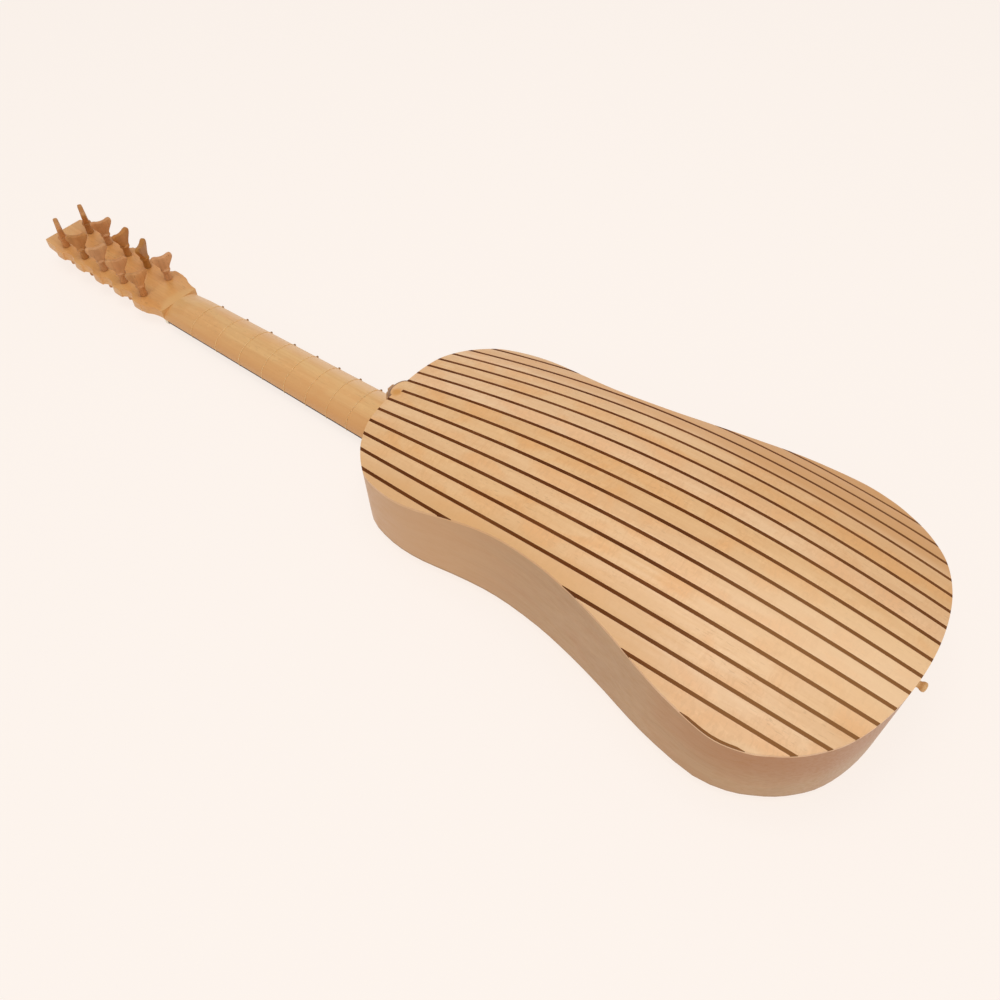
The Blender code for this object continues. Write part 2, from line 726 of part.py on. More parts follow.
def peg_places():
    """(name, distance along the head, distance from the centre line, turn) of each peg, in the head's own axes."""
    places = []
    for i, row in enumerate(PEG_ROWS):
        along = PEG_FIRST + PEG_PITCH * i
        places.append((f"peg_far_{i + 1}", along, -row, PEG_ANGLES_FAR[i]))
        places.append((f"peg_near_{i + 1}", along, row, PEG_ANGLES_NEAR[i]))
    return places


def make_head():
    head = new_object("head", plate("head", head_outline(), 0.0, HEAD_THICKNESS), "neck_wood", parent=HEAD_FRAME)
    for name, along, row, _ in peg_places():
        place = Matrix.Translation((along * MM, row * MM, 0))
        bore = rod(f"bore_{name}", PEG_SHAFT_BACK + GAP, -5.0, HEAD_THICKNESS + 5.0)
        boolean(head, cutter(f"bore_{name}", bore, HEAD_FRAME, place))


def peg_reach():
    """Length of a peg in front of the head, so that the nearest pair stands level with the bridge's top."""
    rise = HEAD_SET_BACK + PEG_FIRST * math.sin(HEAD_TILT)
    edge = PEG_SHAFT_TIP * math.sin(HEAD_TILT)
    return (BRIDGE_HEIGHT + rise - edge) / math.cos(HEAD_TILT)


def wing_mesh():
    """The peg's wing: an extruded outline with two lobes and a dip, thinned towards its top."""
    wide, high = PEG_WING_WIDTH / 2, PEG_WING_HEIGHT
    side = [(0.36, 0.0), (0.4, 0.16), (0.56, 0.36), (0.8, 0.58), (0.97, 0.76), (1.0, 0.9), (0.86, 0.99)]
    side += [(0.62, 0.99), (0.36, 0.93)]
    outline = [(u * wide, v * high) for u, v in side] + [(-u * wide, v * high) for u, v in reversed(side)]
    bm = bmesh.new()
    bm.faces.new([bm.verts.new((u * MM, v * MM, 0)) for u, v in outline])
    raise_faces(bm, PEG_WING_THICKNESS)
    base = HEAD_THICKNESS + PEG_STUB_HEIGHT - 1.5
    for vert in bm.verts:
        thick = (vert.co.z - PEG_WING_THICKNESS / 2 * MM) * (1 - 0.25 * vert.co.y / (high * MM))
        vert.co = (vert.co.x, thick, vert.co.y + base * MM)
    bmesh.ops.recalc_face_normals(bm, faces=bm.faces)
    return mesh_from_bmesh("peg_wing", bm)


def peg_mesh():
    """A peg: tapered shaft and turned stub joined to a flat wing."""
    back = HEAD_THICKNESS
    profile = [
        (PEG_STUB * 0.8, back + PEG_STUB_HEIGHT + 1.0),
        (PEG_STUB * 1.3, back + PEG_STUB_HEIGHT),
        (PEG_STUB * 1.3, back + PEG_STUB_HEIGHT - 2.0),
        (PEG_STUB, back + PEG_STUB_HEIGHT - 4.0),
        (PEG_STUB, back + GAP + 0.4),
        (PEG_SHAFT_BACK, back + GAP),
        (PEG_SHAFT_BACK, back - 1.0),
        (PEG_SHAFT_TIP, -2.0),
        (PEG_SHAFT_TIP, -peg_reach() + 0.5),
        (PEG_SHAFT_TIP - 0.5, -peg_reach()),
    ]
    shaft = cutter("peg_shaft", profile_mesh("peg_shaft", profile))
    turn(shaft, 12)
    wing = cutter("peg_wing", wing_mesh())
    soften(wing, 1.1)
    boolean(shaft, wing, "UNION")
    bpy.context.view_layer.update()
    mesh = bpy.data.meshes.new_from_object(shaft.evaluated_get(bpy.context.evaluated_depsgraph_get()))
    mesh.name = "peg"
    bpy.data.objects.remove(shaft)
    bpy.data.objects.remove(wing)
    return mesh


def make_pegs():
    mesh = peg_mesh()
    mesh.materials.clear()
    for name, along, row, angle in peg_places():
        peg = new_object(name, mesh, "peg_wood", parent=HEAD_FRAME, smooth=40.0)
        place = Matrix.Translation((along * MM, row * MM, 0))
        peg.matrix_local = place @ Matrix.Rotation(math.radians(angle), 4, "Z")


def bridge_place():
    return STRING_LENGTH - NECK_LENGTH


def make_bridge():
    """Bar bridge with a flat top and thin curled ends."""
    x0, half = bridge_place(), BRIDGE_LENGTH / 2
    bar = box("bridge", (x0, x0 + BRIDGE_WIDTH), (-half, half), (-BRIDGE_HEIGHT, -GAP))
    bridge = new_object("bridge", bar, "ebony")
    middle = x0 + BRIDGE_WIDTH / 2
    curl = [(-5.0, -3.0), (-4.0, 6.0), (-9.0, 13.0), (-7.0, 20.0), (0.0, 22.0), (5.0, 17.0), (4.0, 8.0), (5.0, -3.0)]
    for side, label in ((1, "right"), (-1, "left")):
        points = [(middle + x, side * (half + y)) for x, y in curl]
        name = f"bridge_curl_{label}"
        boolean(bridge, cutter(name, plate(name, points, -3.0, -GAP)), "UNION")


def string_path(index, side):
    """Route of one string, in millimetres: bridge, nut, then tangent to its peg and round it."""
    y_bridge = side * string_places(COURSE_SPACING_BRIDGE, PAIR_SPACING_BRIDGE)[index]
    y_nut = side * string_places(COURSE_SPACING_NUT, PAIR_SPACING_NUT)[index]
    start = Vector((bridge_place() - GAP, y_bridge, -STRING_HEIGHT_BRIDGE))
    over = Vector((-NECK_LENGTH, y_nut, -STRING_HEIGHT_NUT))
    bend = Vector((-NECK_LENGTH - NUT_WIDTH - 0.8, y_nut, -STRING_HEIGHT_NUT))
    local = HEAD_MATRIX.inverted() @ bend
    peg = 4 - index
    centre = Vector((PEG_FIRST + PEG_PITCH * peg, -side * PEG_ROWS[peg]))
    radius = PEG_SHAFT_TIP + 0.1 + GAP + STRING_GAUGE / 2
    spoke = Vector((local.x, local.y)) - centre
    swing = math.acos(radius / spoke.length)
    heading = math.atan2(spoke.y, spoke.x)
    inner = min((heading + swing, heading - swing), key=lambda a: abs(centre.y + radius * math.sin(a)))
    direction = 1 if inner < heading else -1
    path = [start, over, bend]
    for i in range(WINDING_TURNS * WINDING_STEPS + 1):
        angle = inner + direction * 2 * math.pi * i / WINDING_STEPS
        height = -WINDING_START + WINDING_PITCH * i / WINDING_STEPS
        spot = Vector((centre.x + radius * math.cos(angle), centre.y + radius * math.sin(angle), height))
        path.append(HEAD_MATRIX @ spot)
    return path


def make_strings():
    least = 1e9
    for side, label in ((1, "right"), (-1, "left")):
        for index in range(5):
            path = string_path(index, side)
            make_tube(f"string_{label}_{index + 1}", [p * MM for p in path], STRING_GAUGE / 2, False)
            turns = path[3:]
            for i, a in enumerate(turns):
                for b in turns[i + WINDING_STEPS // 2 + 2 :]:
                    least = min(least, (a - b).length - STRING_GAUGE)
    print(f"least gap of a string's winding to itself: {least:.2f} mm")


def print_joints():
    """Places of the joints, for whoever writes them down."""
    bpy.context.view_layer.update()
    axis = (HEAD_FRAME.matrix_world.to_3x3() @ Vector((0, 0, 1))).normalized()
    for obj in MODEL.objects:
        if obj.name.startswith(("peg_", "tied_fret")):
            spot = obj.matrix_world.translation
            print("joint", obj.name, *(round(c, 6) for c in spot), *(round(c, 6) for c in axis))


def centre_origin():
    """Puts the world's origin under the middle of the model's box."""
    bpy.context.view_layer.update()
    graph = bpy.context.evaluated_depsgraph_get()
    low, high = Vector((1e9,) * 3), Vector((-1e9,) * 3)
    for obj in MODEL.objects:
        if obj.type == "EMPTY":
            continue
        evaluated = obj.evaluated_get(graph)
        mesh = evaluated.to_mesh()
        for vertex in mesh.vertices:
            spot = evaluated.matrix_world @ vertex.co
            low = Vector(map(min, low, spot))
            high = Vector(map(max, high, spot))
        evaluated.to_mesh_clear()
    ROOT.location = (-(low.x + high.x) / 2, -(low.y + high.y) / 2, -low.z)
    print("box in mm", [round((b - a) / MM, 2) for a, b in zip(low, high)])
    print("root at", [round(c, 6) for c in ROOT.location])


clear_scene()
MODEL = bpy.data.collections.new("baroque_guitar")
CUTTERS = bpy.data.collections.new("cutters")
bpy.context.scene.collection.children.link(MODEL)
bpy.context.scene.collection.children.link(CUTTERS)
ROOT = bpy.data.objects.new("guitar", None)
MODEL.objects.link(ROOT)
HEAD_FRAME = bpy.data.objects.new("head_frame", None)
MODEL.objects.link(HEAD_FRAME)
HEAD_FRAME.parent = ROOT
# The head's own axes: +X away from the body, +Z out of its back face
HEAD_START = Vector((-NECK_LENGTH - NECK_END - GAP, 0, HEAD_SET_BACK))
HEAD_MATRIX = Matrix.Translation(HEAD_START) @ Matrix.Rotation(HEAD_TILT, 4, "Y") @ Matrix.Rotation(math.pi, 4, "Z")
HEAD_FRAME.matrix_local = Matrix.Translation(HEAD_START * MM) @ HEAD_MATRIX.to_3x3().to_4x4()
STATIONS = [float(x) for x in np.linspace(-14.0, BODY_LENGTH + 6.0, 17)]
PRISM = cutter("body_prism", plate("body_prism", full_outline(), -20.0, BODY_DEPTH + 20.0))
UNDER_VAULT = make_under_vault()
BUTTON_PLACE = Matrix.Translation((BODY_LENGTH * MM, 0, BUTTON_HEIGHT * MM)) @ Matrix.Rotation(math.pi / 2, 4, "Y")
BUTTON_HOLE = cutter("button_hole", rod("button_hole", BUTTON_STEM_RADIUS + GAP, -40.0, 20.0), matrix=BUTTON_PLACE)

make_back()
make_fillets()
make_ribs()
make_soundboard()
make_rose()
make_blocks()
make_button()
make_neck()
make_fingerboard()
make_nut()
make_tied_frets()
make_head()
make_pegs()
make_bridge()
make_strings()
centre_origin()
print_joints()
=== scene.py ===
"""Looks of the baroque guitar: fine staves and fillets, ribs, neck, head, pegs, strings and tied frets.

Shapes are worked out in millimetres in the guitar's own frame, as in the construction: x = 0 at the
body's neck end, z = 0 at the soundboard's outer face, +Z towards the back.
"""

import math

import bmesh
import bpy
import numpy as np
from mathutils import Matrix, Vector


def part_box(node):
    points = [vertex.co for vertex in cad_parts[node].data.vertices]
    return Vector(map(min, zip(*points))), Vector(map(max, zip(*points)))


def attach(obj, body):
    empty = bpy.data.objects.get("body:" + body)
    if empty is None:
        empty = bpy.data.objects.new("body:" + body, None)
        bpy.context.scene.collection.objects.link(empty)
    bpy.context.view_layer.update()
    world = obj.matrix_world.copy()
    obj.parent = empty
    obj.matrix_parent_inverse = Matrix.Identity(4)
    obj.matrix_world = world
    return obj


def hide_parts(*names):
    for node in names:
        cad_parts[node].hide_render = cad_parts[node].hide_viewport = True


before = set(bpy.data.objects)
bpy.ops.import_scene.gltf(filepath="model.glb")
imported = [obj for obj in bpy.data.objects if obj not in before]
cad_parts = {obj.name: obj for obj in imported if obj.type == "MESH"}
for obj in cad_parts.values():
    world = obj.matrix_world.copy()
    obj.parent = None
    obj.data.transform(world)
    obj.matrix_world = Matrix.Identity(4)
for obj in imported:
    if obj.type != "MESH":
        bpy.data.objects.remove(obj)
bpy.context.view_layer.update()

MM = 0.001
ROOT_BODY = "guitar"

# Construction sizes, in millimetres
GAP = 0.3

# Body, in millimetres
BODY_LENGTH = 447.5
LOWER_BOUT = 247.8
WAIST = 176.8
UPPER_BOUT = 194.4
BODY_DEPTH = 103.2  # soundboard's face to the top of the vault
SOUNDBOARD_THICKNESS = 2.0
BACK_THICKNESS = 2.6
RIB_THICKNESS = 1.8
BLOCK_LENGTH = 16.0

# Vault of the back
VAULT_PEAK = 267.5  # distance of the highest point from the neck end
VAULT_REACH = 215.4  # along the body from the peak, where the next three sizes are taken
VAULT_DROP = 27.1
VAULT_EASE = 3.0  # how much of that drop the ends gain back
VAULT_OPENING = 0.12  # share of the cross curvature lost there
VAULT_CROSS_RADIUS = 235.3
VAULT_LIFT = 1.0e-8  # per cubic millimetre: the edges turn down less than an arc would

# Fillets of the back
FILLET_SIDE_COUNT = 8  # fillets on each side of the middle one
FILLET_PITCH = 15.5
FILLET_OFFSET = -6.4  # the middle fillet lies this far to the left of the body's middle
FILLET_WIDTH = 2.7
FILLET_DEPTH = 1.3
EDGE_FILLET = 1.5  # width of a fillet that runs along the edge
STAVE_TAPER = 0.112  # share of the pitch lost at VAULT_REACH from the peak
MIDDLE_FILLET_START = 5.0
TAB_REACH = 8.6  # half-round tab of the back over the heel
TAB_HALF_WIDTH = 12.4
TAB_CENTRE = -4.9

# Neck, fingerboard, nut and tied frets
STRING_LENGTH = 688.0
NECK_LENGTH = 310.0  # nut to body
NECK_WIDTH_NUT = 45.0
NECK_WIDTH_BODY = 53.5
NECK_THICKNESS = 17.0  # with the fingerboard, at the nut
NECK_SWELL = 4.0  # thickness gained at the body
FINGERBOARD_THICKNESS = 2.2
HEEL_LENGTH = 27.0
NUT_WIDTH = 4.5
TIED_FRETS = 8
FRET_GUT = 0.7

# Head and pegs
HEAD_TILT = math.radians(3.0)
HEAD_LENGTH = 190.0
HEAD_THICKNESS = 9.5
HEAD_SET_BACK = 3.2  # head's front face behind the fingerboard's
HEAD_EAR = 29.0  # half width at the first pair of pegs
HEAD_LOBE = 27.8  # half width at the other pegs
HEAD_DIP = 22.6  # half width between the pegs
HEAD_END = 23.0
NECK_EASE = 24.0  # stretch before the nut where the neck's back comes down to the head's
NECK_END = 5.4  # neck past the nut's edge, under the nut
PEG_FIRST = 33.8  # along the head, from its neck end
PEG_PITCH = 32.2
PEG_ROWS = (16.4, 15.6, 15.6, 15.6, 15.6)  # distance from the centre line, nearest the nut first
PEG_SHAFT_BACK = 3.4
PEG_SHAFT_TIP = 2.4
PEG_STUB = 3.8
PEG_STUB_HEIGHT = 12.5
PEG_WING_HEIGHT = 18.5
PEG_WING_WIDTH = 21.5
PEG_WING_THICKNESS = 6.4
PEG_ANGLES_FAR = (70, 122, 100, 70, -25)  # degrees the wings are turned, nearest the nut first
PEG_ANGLES_NEAR = (70, 60, 65, 55, -25)

# Bridge and strings
BRIDGE_HEIGHT = 9.0
STRING_GAUGE = 0.7
STRING_HEIGHT_NUT = 2.0
STRING_HEIGHT_BRIDGE = 6.0
COURSE_SPACING_NUT = 7.3
COURSE_SPACING_BRIDGE = 16.0
PAIR_SPACING_NUT = 2.6
PAIR_SPACING_BRIDGE = 3.6
WINDING_TURNS = 3
WINDING_PITCH = 1.2
WINDING_START = 5.4  # in front of the head's front face

# End button
BUTTON_HEIGHT = 46.0
BUTTON_STEM_RADIUS = 2.3
BUTTON_HEAD_RADIUS = 3.7
BUTTON_PROUD = 8.2

# The camera, in the guitar's frame: place in millimetres, angles in radians, focal length in image widths
CAMERA_PLACE = (397.3, -372.2, 584.5)
CAMERA_AZIMUTH = 0.3382
CAMERA_ELEVATION = 0.9257
CAMERA_ROLL = 0.2324
CAMERA_YAW = -0.2012
CAMERA_PITCH = 0.0459
CAMERA_FOCAL = 0.8753
SENSOR_MM = 36.0

BACKGROUND = (252, 243, 236)

# Sizes of the fine surfaces
LOWERED = 0.15  # keeps the smooth vault inside the construction's box, whose facets cut its top
EDGE_DIP = 0.1  # rounding where staves and fillets meet
TAB_RIM = 3.0  # rounded edge of the tab over the heel

# The guitar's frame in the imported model
BOARD_LOW, BOARD_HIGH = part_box("fingerboard")
SHIFT = Vector((BOARD_HIGH.x + GAP * MM, 0.0, BOARD_LOW.z))


def spot(x, y, z):
    return SHIFT + Vector((x, y, z)) * MM


def linear(rgb):
    """An sRGB colour of 0 to 255 as linear values."""
    return tuple((c / 255 / 12.92) if c <= 10.3 else ((c / 255 + 0.055) / 1.055) ** 2.4 for c in rgb)


# Curves of the construction


def catmull_rom(points, steps):
    """A smooth open curve through the points."""
    padded = [2 * np.array(points[0]) - np.array(points[1])]
    padded += [np.array(p, float) for p in points]
    padded.append(2 * np.array(points[-1]) - np.array(points[-2]))
    curve = []
    for a, b, c, d in zip(padded, padded[1:], padded[2:], padded[3:]):
        for i in range(steps):
            t = i / steps
            curve.append(
                0.5 * ((2 * b) + (c - a) * t + (2 * a - 5 * b + 4 * c - d) * t**2 + (3 * b - a - 3 * c + d) * t**3)
            )
    curve.append(padded[-2])
    return curve


def outline_half(steps=6):
    """Half of the body's outline, from the tail's middle round to the neck end's middle."""
    lower, waist, upper = LOWER_BOUT / 2, WAIST / 2, UPPER_BOUT / 2
    shares = [
        (1.0, 0.0),
        (0.998, lower * 0.16),
        (0.992, lower * 0.32),
        (0.983, lower * 0.452),
        (0.97, lower * 0.577),
        (0.954, lower * 0.682),
        (0.934, lower * 0.767),
        (0.912, lower * 0.84),
        (0.883, lower * 0.908),
        (0.849, lower * 0.966),
        (0.797, lower),
        (0.726, lower * 0.967),
        (0.67, lower * 0.92),
        (0.614, lower * 0.86),
        (0.559, lower * 0.807),
        (0.509, waist * 1.075),
        (0.458, waist * 1.03),
        (0.391, waist),
        (0.335, waist * 1.003),
        (0.273, waist * 1.04),
        (0.212, upper * 0.99),
        (0.163, upper),
        (0.116, upper * 0.972),
        (0.075, upper * 0.905),
        (0.038, upper * 0.751),
        (0.0168, upper * 0.602),
        (0.0058, upper * 0.473),
        (0.0018, upper * 0.34),
        (0.0, upper * 0.206),
        (0.0, 0.0),
    ]
    control = [(share * BODY_LENGTH, y) for share, y in shares]
    mirrored = [(control[1][0], -control[1][1])] + control + [(control[-2][0], -control[-2][1])]
    curve = catmull_rom(mirrored, steps)
    return [tuple(p) for p in curve[steps:-steps]]


def inset_half(distance):
    """The half outline moved inwards."""
    points = np.array(outline_half())
    tangent = np.gradient(points, axis=0)
    tangent[0] = (0, 1)
    tangent[-1] = (0, -1)
    tangent /= np.linalg.norm(tangent, axis=1)[:, None]
    normal = np.stack([-tangent[:, 1], tangent[:, 0]], 1)
    return [tuple(p) for p in points + normal * distance]


def full_outline():
    half = outline_half()
    return half + [(x, -y) for x, y in reversed(half[1:-1])]


def outline_with_tab(shrink=0.0):
    """The outline of the back, which carries a half-round tab over the heel."""
    body = full_outline()
    covered = [i for i, (x, y) in enumerate(body) if x < 5.0 and abs(y - TAB_CENTRE) < TAB_HALF_WIDTH + 1.0]
    angles = np.linspace(0, math.pi, 13)
    tab = [(0.2 - (TAB_REACH - shrink) * math.sin(a), TAB_CENTRE + (TAB_HALF_WIDTH - shrink) * math.cos(a)) for a in angles]
    return body[: covered[0]] + tab + body[covered[-1] + 1 :]


def along_share(x):
    return (x - VAULT_PEAK) / VAULT_REACH


def cross_bend(x):
    return (1 - VAULT_OPENING * along_share(x) ** 2) / (2 * VAULT_CROSS_RADIUS)


def vault_point(x, arc):
    """The point of the back's outer face that far round the vault from the body's middle plane."""
    bend = cross_bend(x)
    ridge = BODY_DEPTH - VAULT_DROP * along_share(x) ** 2 + VAULT_EASE * along_share(x) ** 4
    return (x, arc - 2 / 3 * bend**2 * arc**3, ridge - bend * arc**2 + VAULT_LIFT * arc**4)


def arc_to(x, y):
    """How far round the vault the point over x and y lies."""
    arc = y
    for _ in range(6):
        arc += y - vault_point(x, arc)[1]
    return arc


def back_height(x, y):
    return vault_point(x, arc_to(x, y))[2]


def fillet_arc(x, k):
    """Where fillet k runs. The staves narrow towards both ends."""
    return k * FILLET_PITCH * (1 - STAVE_TAPER * along_share(x) ** 2) + FILLET_OFFSET


def half_width(x):
    half = sorted(outline_half())
    return float(np.interp(x, [p[0] for p in half], [p[1] for p in half]))


def lies_on_edge(k):
    """Whether fillet k runs along the edge of the lower bout."""
    place = 0.797 * BODY_LENGTH
    spare = arc_to(place, LOWER_BOUT / 2) - abs(fillet_arc(place, k)) - FILLET_WIDTH / 2
    return -FILLET_WIDTH < spare < 2.0


def fillet_edges(x, k, spare=0.0):
    """The two edges of fillet k. One on the edge of the back is thin, and the outline cuts its far side."""
    middle = fillet_arc(x, k)
    reach = FILLET_WIDTH / 2 + spare
    if not lies_on_edge(k):
        return [middle - reach, middle + reach]
    inner = max(abs(middle) - reach, arc_to(x, half_width(x)) - EDGE_FILLET - spare)
    outer = abs(middle) + 8.0
    return [inner, outer] if k > 0 else [-outer, -inner]


def neck_width(x):
    return NECK_WIDTH_NUT + (NECK_WIDTH_BODY - NECK_WIDTH_NUT) * (x + NECK_LENGTH) / NECK_LENGTH


def neck_depth(x):
    """Depth of the neck's rounded back behind the fingerboard's joint."""
    plain = NECK_THICKNESS - FINGERBOARD_THICKNESS - GAP + NECK_SWELL * (x + NECK_LENGTH) / NECK_LENGTH
    if x < NECK_EASE - NECK_LENGTH:
        level = HEAD_SET_BACK + HEAD_THICKNESS - FINGERBOARD_THICKNESS - GAP
        u = min(1.0, (NECK_EASE - NECK_LENGTH - x) / (NECK_EASE + NECK_END))
        return plain + (level - plain) * u * u * (3 - 2 * u)
    if x <= -HEEL_LENGTH:
        return plain
    u = min(1.0, (x + HEEL_LENGTH) / (HEEL_LENGTH - TAB_REACH + 1.0))
    return plain + (back_height(0.0, 0.0) * 1.25 - plain) * u**2.2


def heel_ceiling(x):
    """The heel stops under the tab."""
    return back_height(x, TAB_CENTRE) - BACK_THICKNESS - LOWERED


def neck_section(x, offset=0.0, count=44):
    """The neck's rounded back at x, from one edge of the fingerboard to the other, as (y, z) pairs."""
    half = neck_width(x) / 2 + offset
    deep = neck_depth(x) + offset + GAP
    base = FINGERBOARD_THICKNESS
    top = heel_ceiling(x) if x > -HEEL_LENGTH else 1e9
    points = []
    for i in range(count + 1):
        angle = math.pi * i / count
        z = min(base + deep * math.sin(angle) ** 0.92, top)
        y = half * math.cos(angle)
        if x > -HEEL_LENGTH:
            rise = max(0.0, (z - base - 12.0) / (heel_ceiling(0.0) - base - 12.0))
            tab = TAB_HALF_WIDTH * math.sqrt(max(0.0, 1 - (x / (TAB_REACH + 1.5)) ** 2)) if x > -TAB_REACH else 3.0
            y += rise**1.5 * (TAB_CENTRE + max(-tab, min(tab, y)) - y)
        points.append((y, z))
    return points


# Mesh helpers


def mesh_of(name, bm, smooth=30.0):
    bmesh.ops.recalc_face_normals(bm, faces=bm.faces)
    mesh = bpy.data.meshes.new(name)
    bm.to_mesh(mesh)
    bm.free()
    mesh.shade_smooth()
    mesh.set_sharp_from_angle(angle=math.radians(smooth))
    return mesh


def loft(name, rings, smooth=30.0, place=spot):
    """A skin through rings of points in millimetres, capped at both ends."""
    bm = bmesh.new()
    loops = [[bm.verts.new(place(*point)) for point in ring] for ring in rings]
    count = len(loops[0])
    for first, second in zip(loops, loops[1:]):
        for i in range(count):
            j = (i + 1) % count
            bm.faces.new((first[i], first[j], second[j], second[i]))
    bm.faces.new(loops[0][::-1])
    bm.faces.new(loops[-1])
    return mesh_of(name, bm, smooth)


def column(name, points, bottom, top, smooth=30.0, place=spot):
    """A closed column over a flat outline, between two heights or functions of x and y."""
    low = [bottom(x, y) if callable(bottom) else bottom for x, y in points]
    high = [top(x, y) if callable(top) else top for x, y in points]
    lower = [(x, y, z) for (x, y), z in zip(points, low)]
    upper = [(x, y, z) for (x, y), z in zip(points, high)]
    return loft(name, [lower, upper], smooth, place)


def local(x, y, z):
    return Vector((x, y, z)) * MM


def turned(name, profile, steps=48, smooth=35.0):
    rings = []
    for radius, height in profile:
        angles = [2 * math.pi * i / steps for i in range(steps)]
        rings.append([(radius * math.cos(a), radius * math.sin(a), height) for a in angles])
    return loft(name, rings, smooth, local)


def add(name, mesh, material, replaces=(), body=ROOT_BODY, matrix=None):
    obj = bpy.data.objects.new(name, mesh)
    bpy.context.scene.collection.objects.link(obj)
    if matrix is not None:
        obj.matrix_world = matrix
    obj.data.materials.clear()
    obj.data.materials.append(material)
    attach(obj, body)
    if replaces:
        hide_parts(*replaces)
    return obj


def baked_boolean(mesh, other, operation):
    """The mesh joined to or cut by another, as a new mesh."""
    base = bpy.data.objects.new("working", mesh)
    tool = bpy.data.objects.new("tool", other)
    for obj in (base, tool):
        bpy.context.scene.collection.objects.link(obj)
    modifier = base.modifiers.new("cut", "BOOLEAN")
    modifier.operation = operation
    modifier.solver = "EXACT"
    modifier.object = tool
    bpy.context.view_layer.update()
    result = bpy.data.meshes.new_from_object(base.evaluated_get(bpy.context.evaluated_depsgraph_get()))
    result.name = mesh.name
    bpy.data.objects.remove(base)
    bpy.data.objects.remove(tool)
    result.shade_smooth()
    result.set_sharp_from_angle(angle=math.radians(30))
    return result


def bevelled(mesh, width, segments=2, angle=35.0):
    """The mesh with its sharp edges rounded, as a new mesh."""
    base = bpy.data.objects.new("working", mesh)
    bpy.context.scene.collection.objects.link(base)
    modifier = base.modifiers.new("edges", "BEVEL")
    modifier.width = width * MM
    modifier.segments = segments
    modifier.limit_method = "ANGLE"
    modifier.angle_limit = math.radians(angle)
    modifier.harden_normals = False
    bpy.context.view_layer.update()
    result = bpy.data.meshes.new_from_object(base.evaluated_get(bpy.context.evaluated_depsgraph_get()))
    result.name = mesh.name
    bpy.data.objects.remove(base)
    result.shade_smooth()
    result.set_sharp_from_angle(angle=math.radians(45))
    return result


# Materials


class Nodes:
    """Short calls for building one material."""

    def __init__(self, name):
        self.material = bpy.data.materials.new(name)
        self.material.use_nodes = True
        self.tree = self.material.node_tree
        self.shader = self.tree.nodes["Principled BSDF"]
        self.output = self.tree.nodes["Material Output"]

    def new(self, kind, **values):
        node = self.tree.nodes.new(kind)
        for key, value in values.items():
            setattr(node, key, value)
        return node

    def link(self, source, target):
        self.tree.links.new(source, target)

    def feed(self, socket, value):
        if isinstance(value, bpy.types.NodeSocket):
            self.link(value, socket)
        elif socket.type == "RGBA" and len(value) == 3:
            socket.default_value = (*value, 1.0)
        else:
            socket.default_value = value

    def coords(self, scale, offset=None):
        """Object coordinates stretched by scale, and moved by an offset socket if given."""
        source = self.new("ShaderNodeTexCoord").outputs["Object"]
        if offset is not None:
            moved = self.new("ShaderNodeVectorMath", operation="ADD")
            self.link(source, moved.inputs[0])
            self.feed(moved.inputs[1], offset)
            source = moved.outputs[0]
        mapping = self.new("ShaderNodeMapping")
        mapping.inputs["Scale"].default_value = scale
        self.link(source, mapping.inputs["Vector"])
        return mapping.outputs["Vector"]

    def noise(self, vector, scale, detail=3.0, rough=0.5, distortion=0.0):
        node = self.new("ShaderNodeTexNoise")
        self.link(vector, node.inputs["Vector"])
        node.inputs["Scale"].default_value = scale
        node.inputs["Detail"].default_value = detail
        node.inputs["Roughness"].default_value = rough
        node.inputs["Distortion"].default_value = distortion
        return node.outputs["Fac"]

    def ramp(self, value, low, high, out_low=0.0, out_high=1.0):
        node = self.new("ShaderNodeMapRange", interpolation_type="SMOOTHSTEP")
        self.feed(node.inputs["Value"], value)
        node.inputs["From Min"].default_value = low
        node.inputs["From Max"].default_value = high
        node.inputs["To Min"].default_value = out_low
        node.inputs["To Max"].default_value = out_high
        return node.outputs["Result"]

    def math(self, operation, a, b=0.0):
        node = self.new("ShaderNodeMath", operation=operation)
        self.feed(node.inputs[0], a)
        self.feed(node.inputs[1], b)
        return node.outputs[0]

    def mix(self, factor, a, b, blend="MIX"):
        node = self.new("ShaderNodeMix", data_type="RGBA", blend_type=blend)
        self.feed(node.inputs[0], factor)
        self.feed(node.inputs[6], a)
        self.feed(node.inputs[7], b)
        return node.outputs[2]

    def bump(self, height, strength, distance):
        node = self.new("ShaderNodeBump")
        node.inputs["Strength"].default_value = strength
        node.inputs["Distance"].default_value = distance
        self.link(height, node.inputs["Height"])
        self.link(node.outputs["Normal"], self.shader.inputs["Normal"])


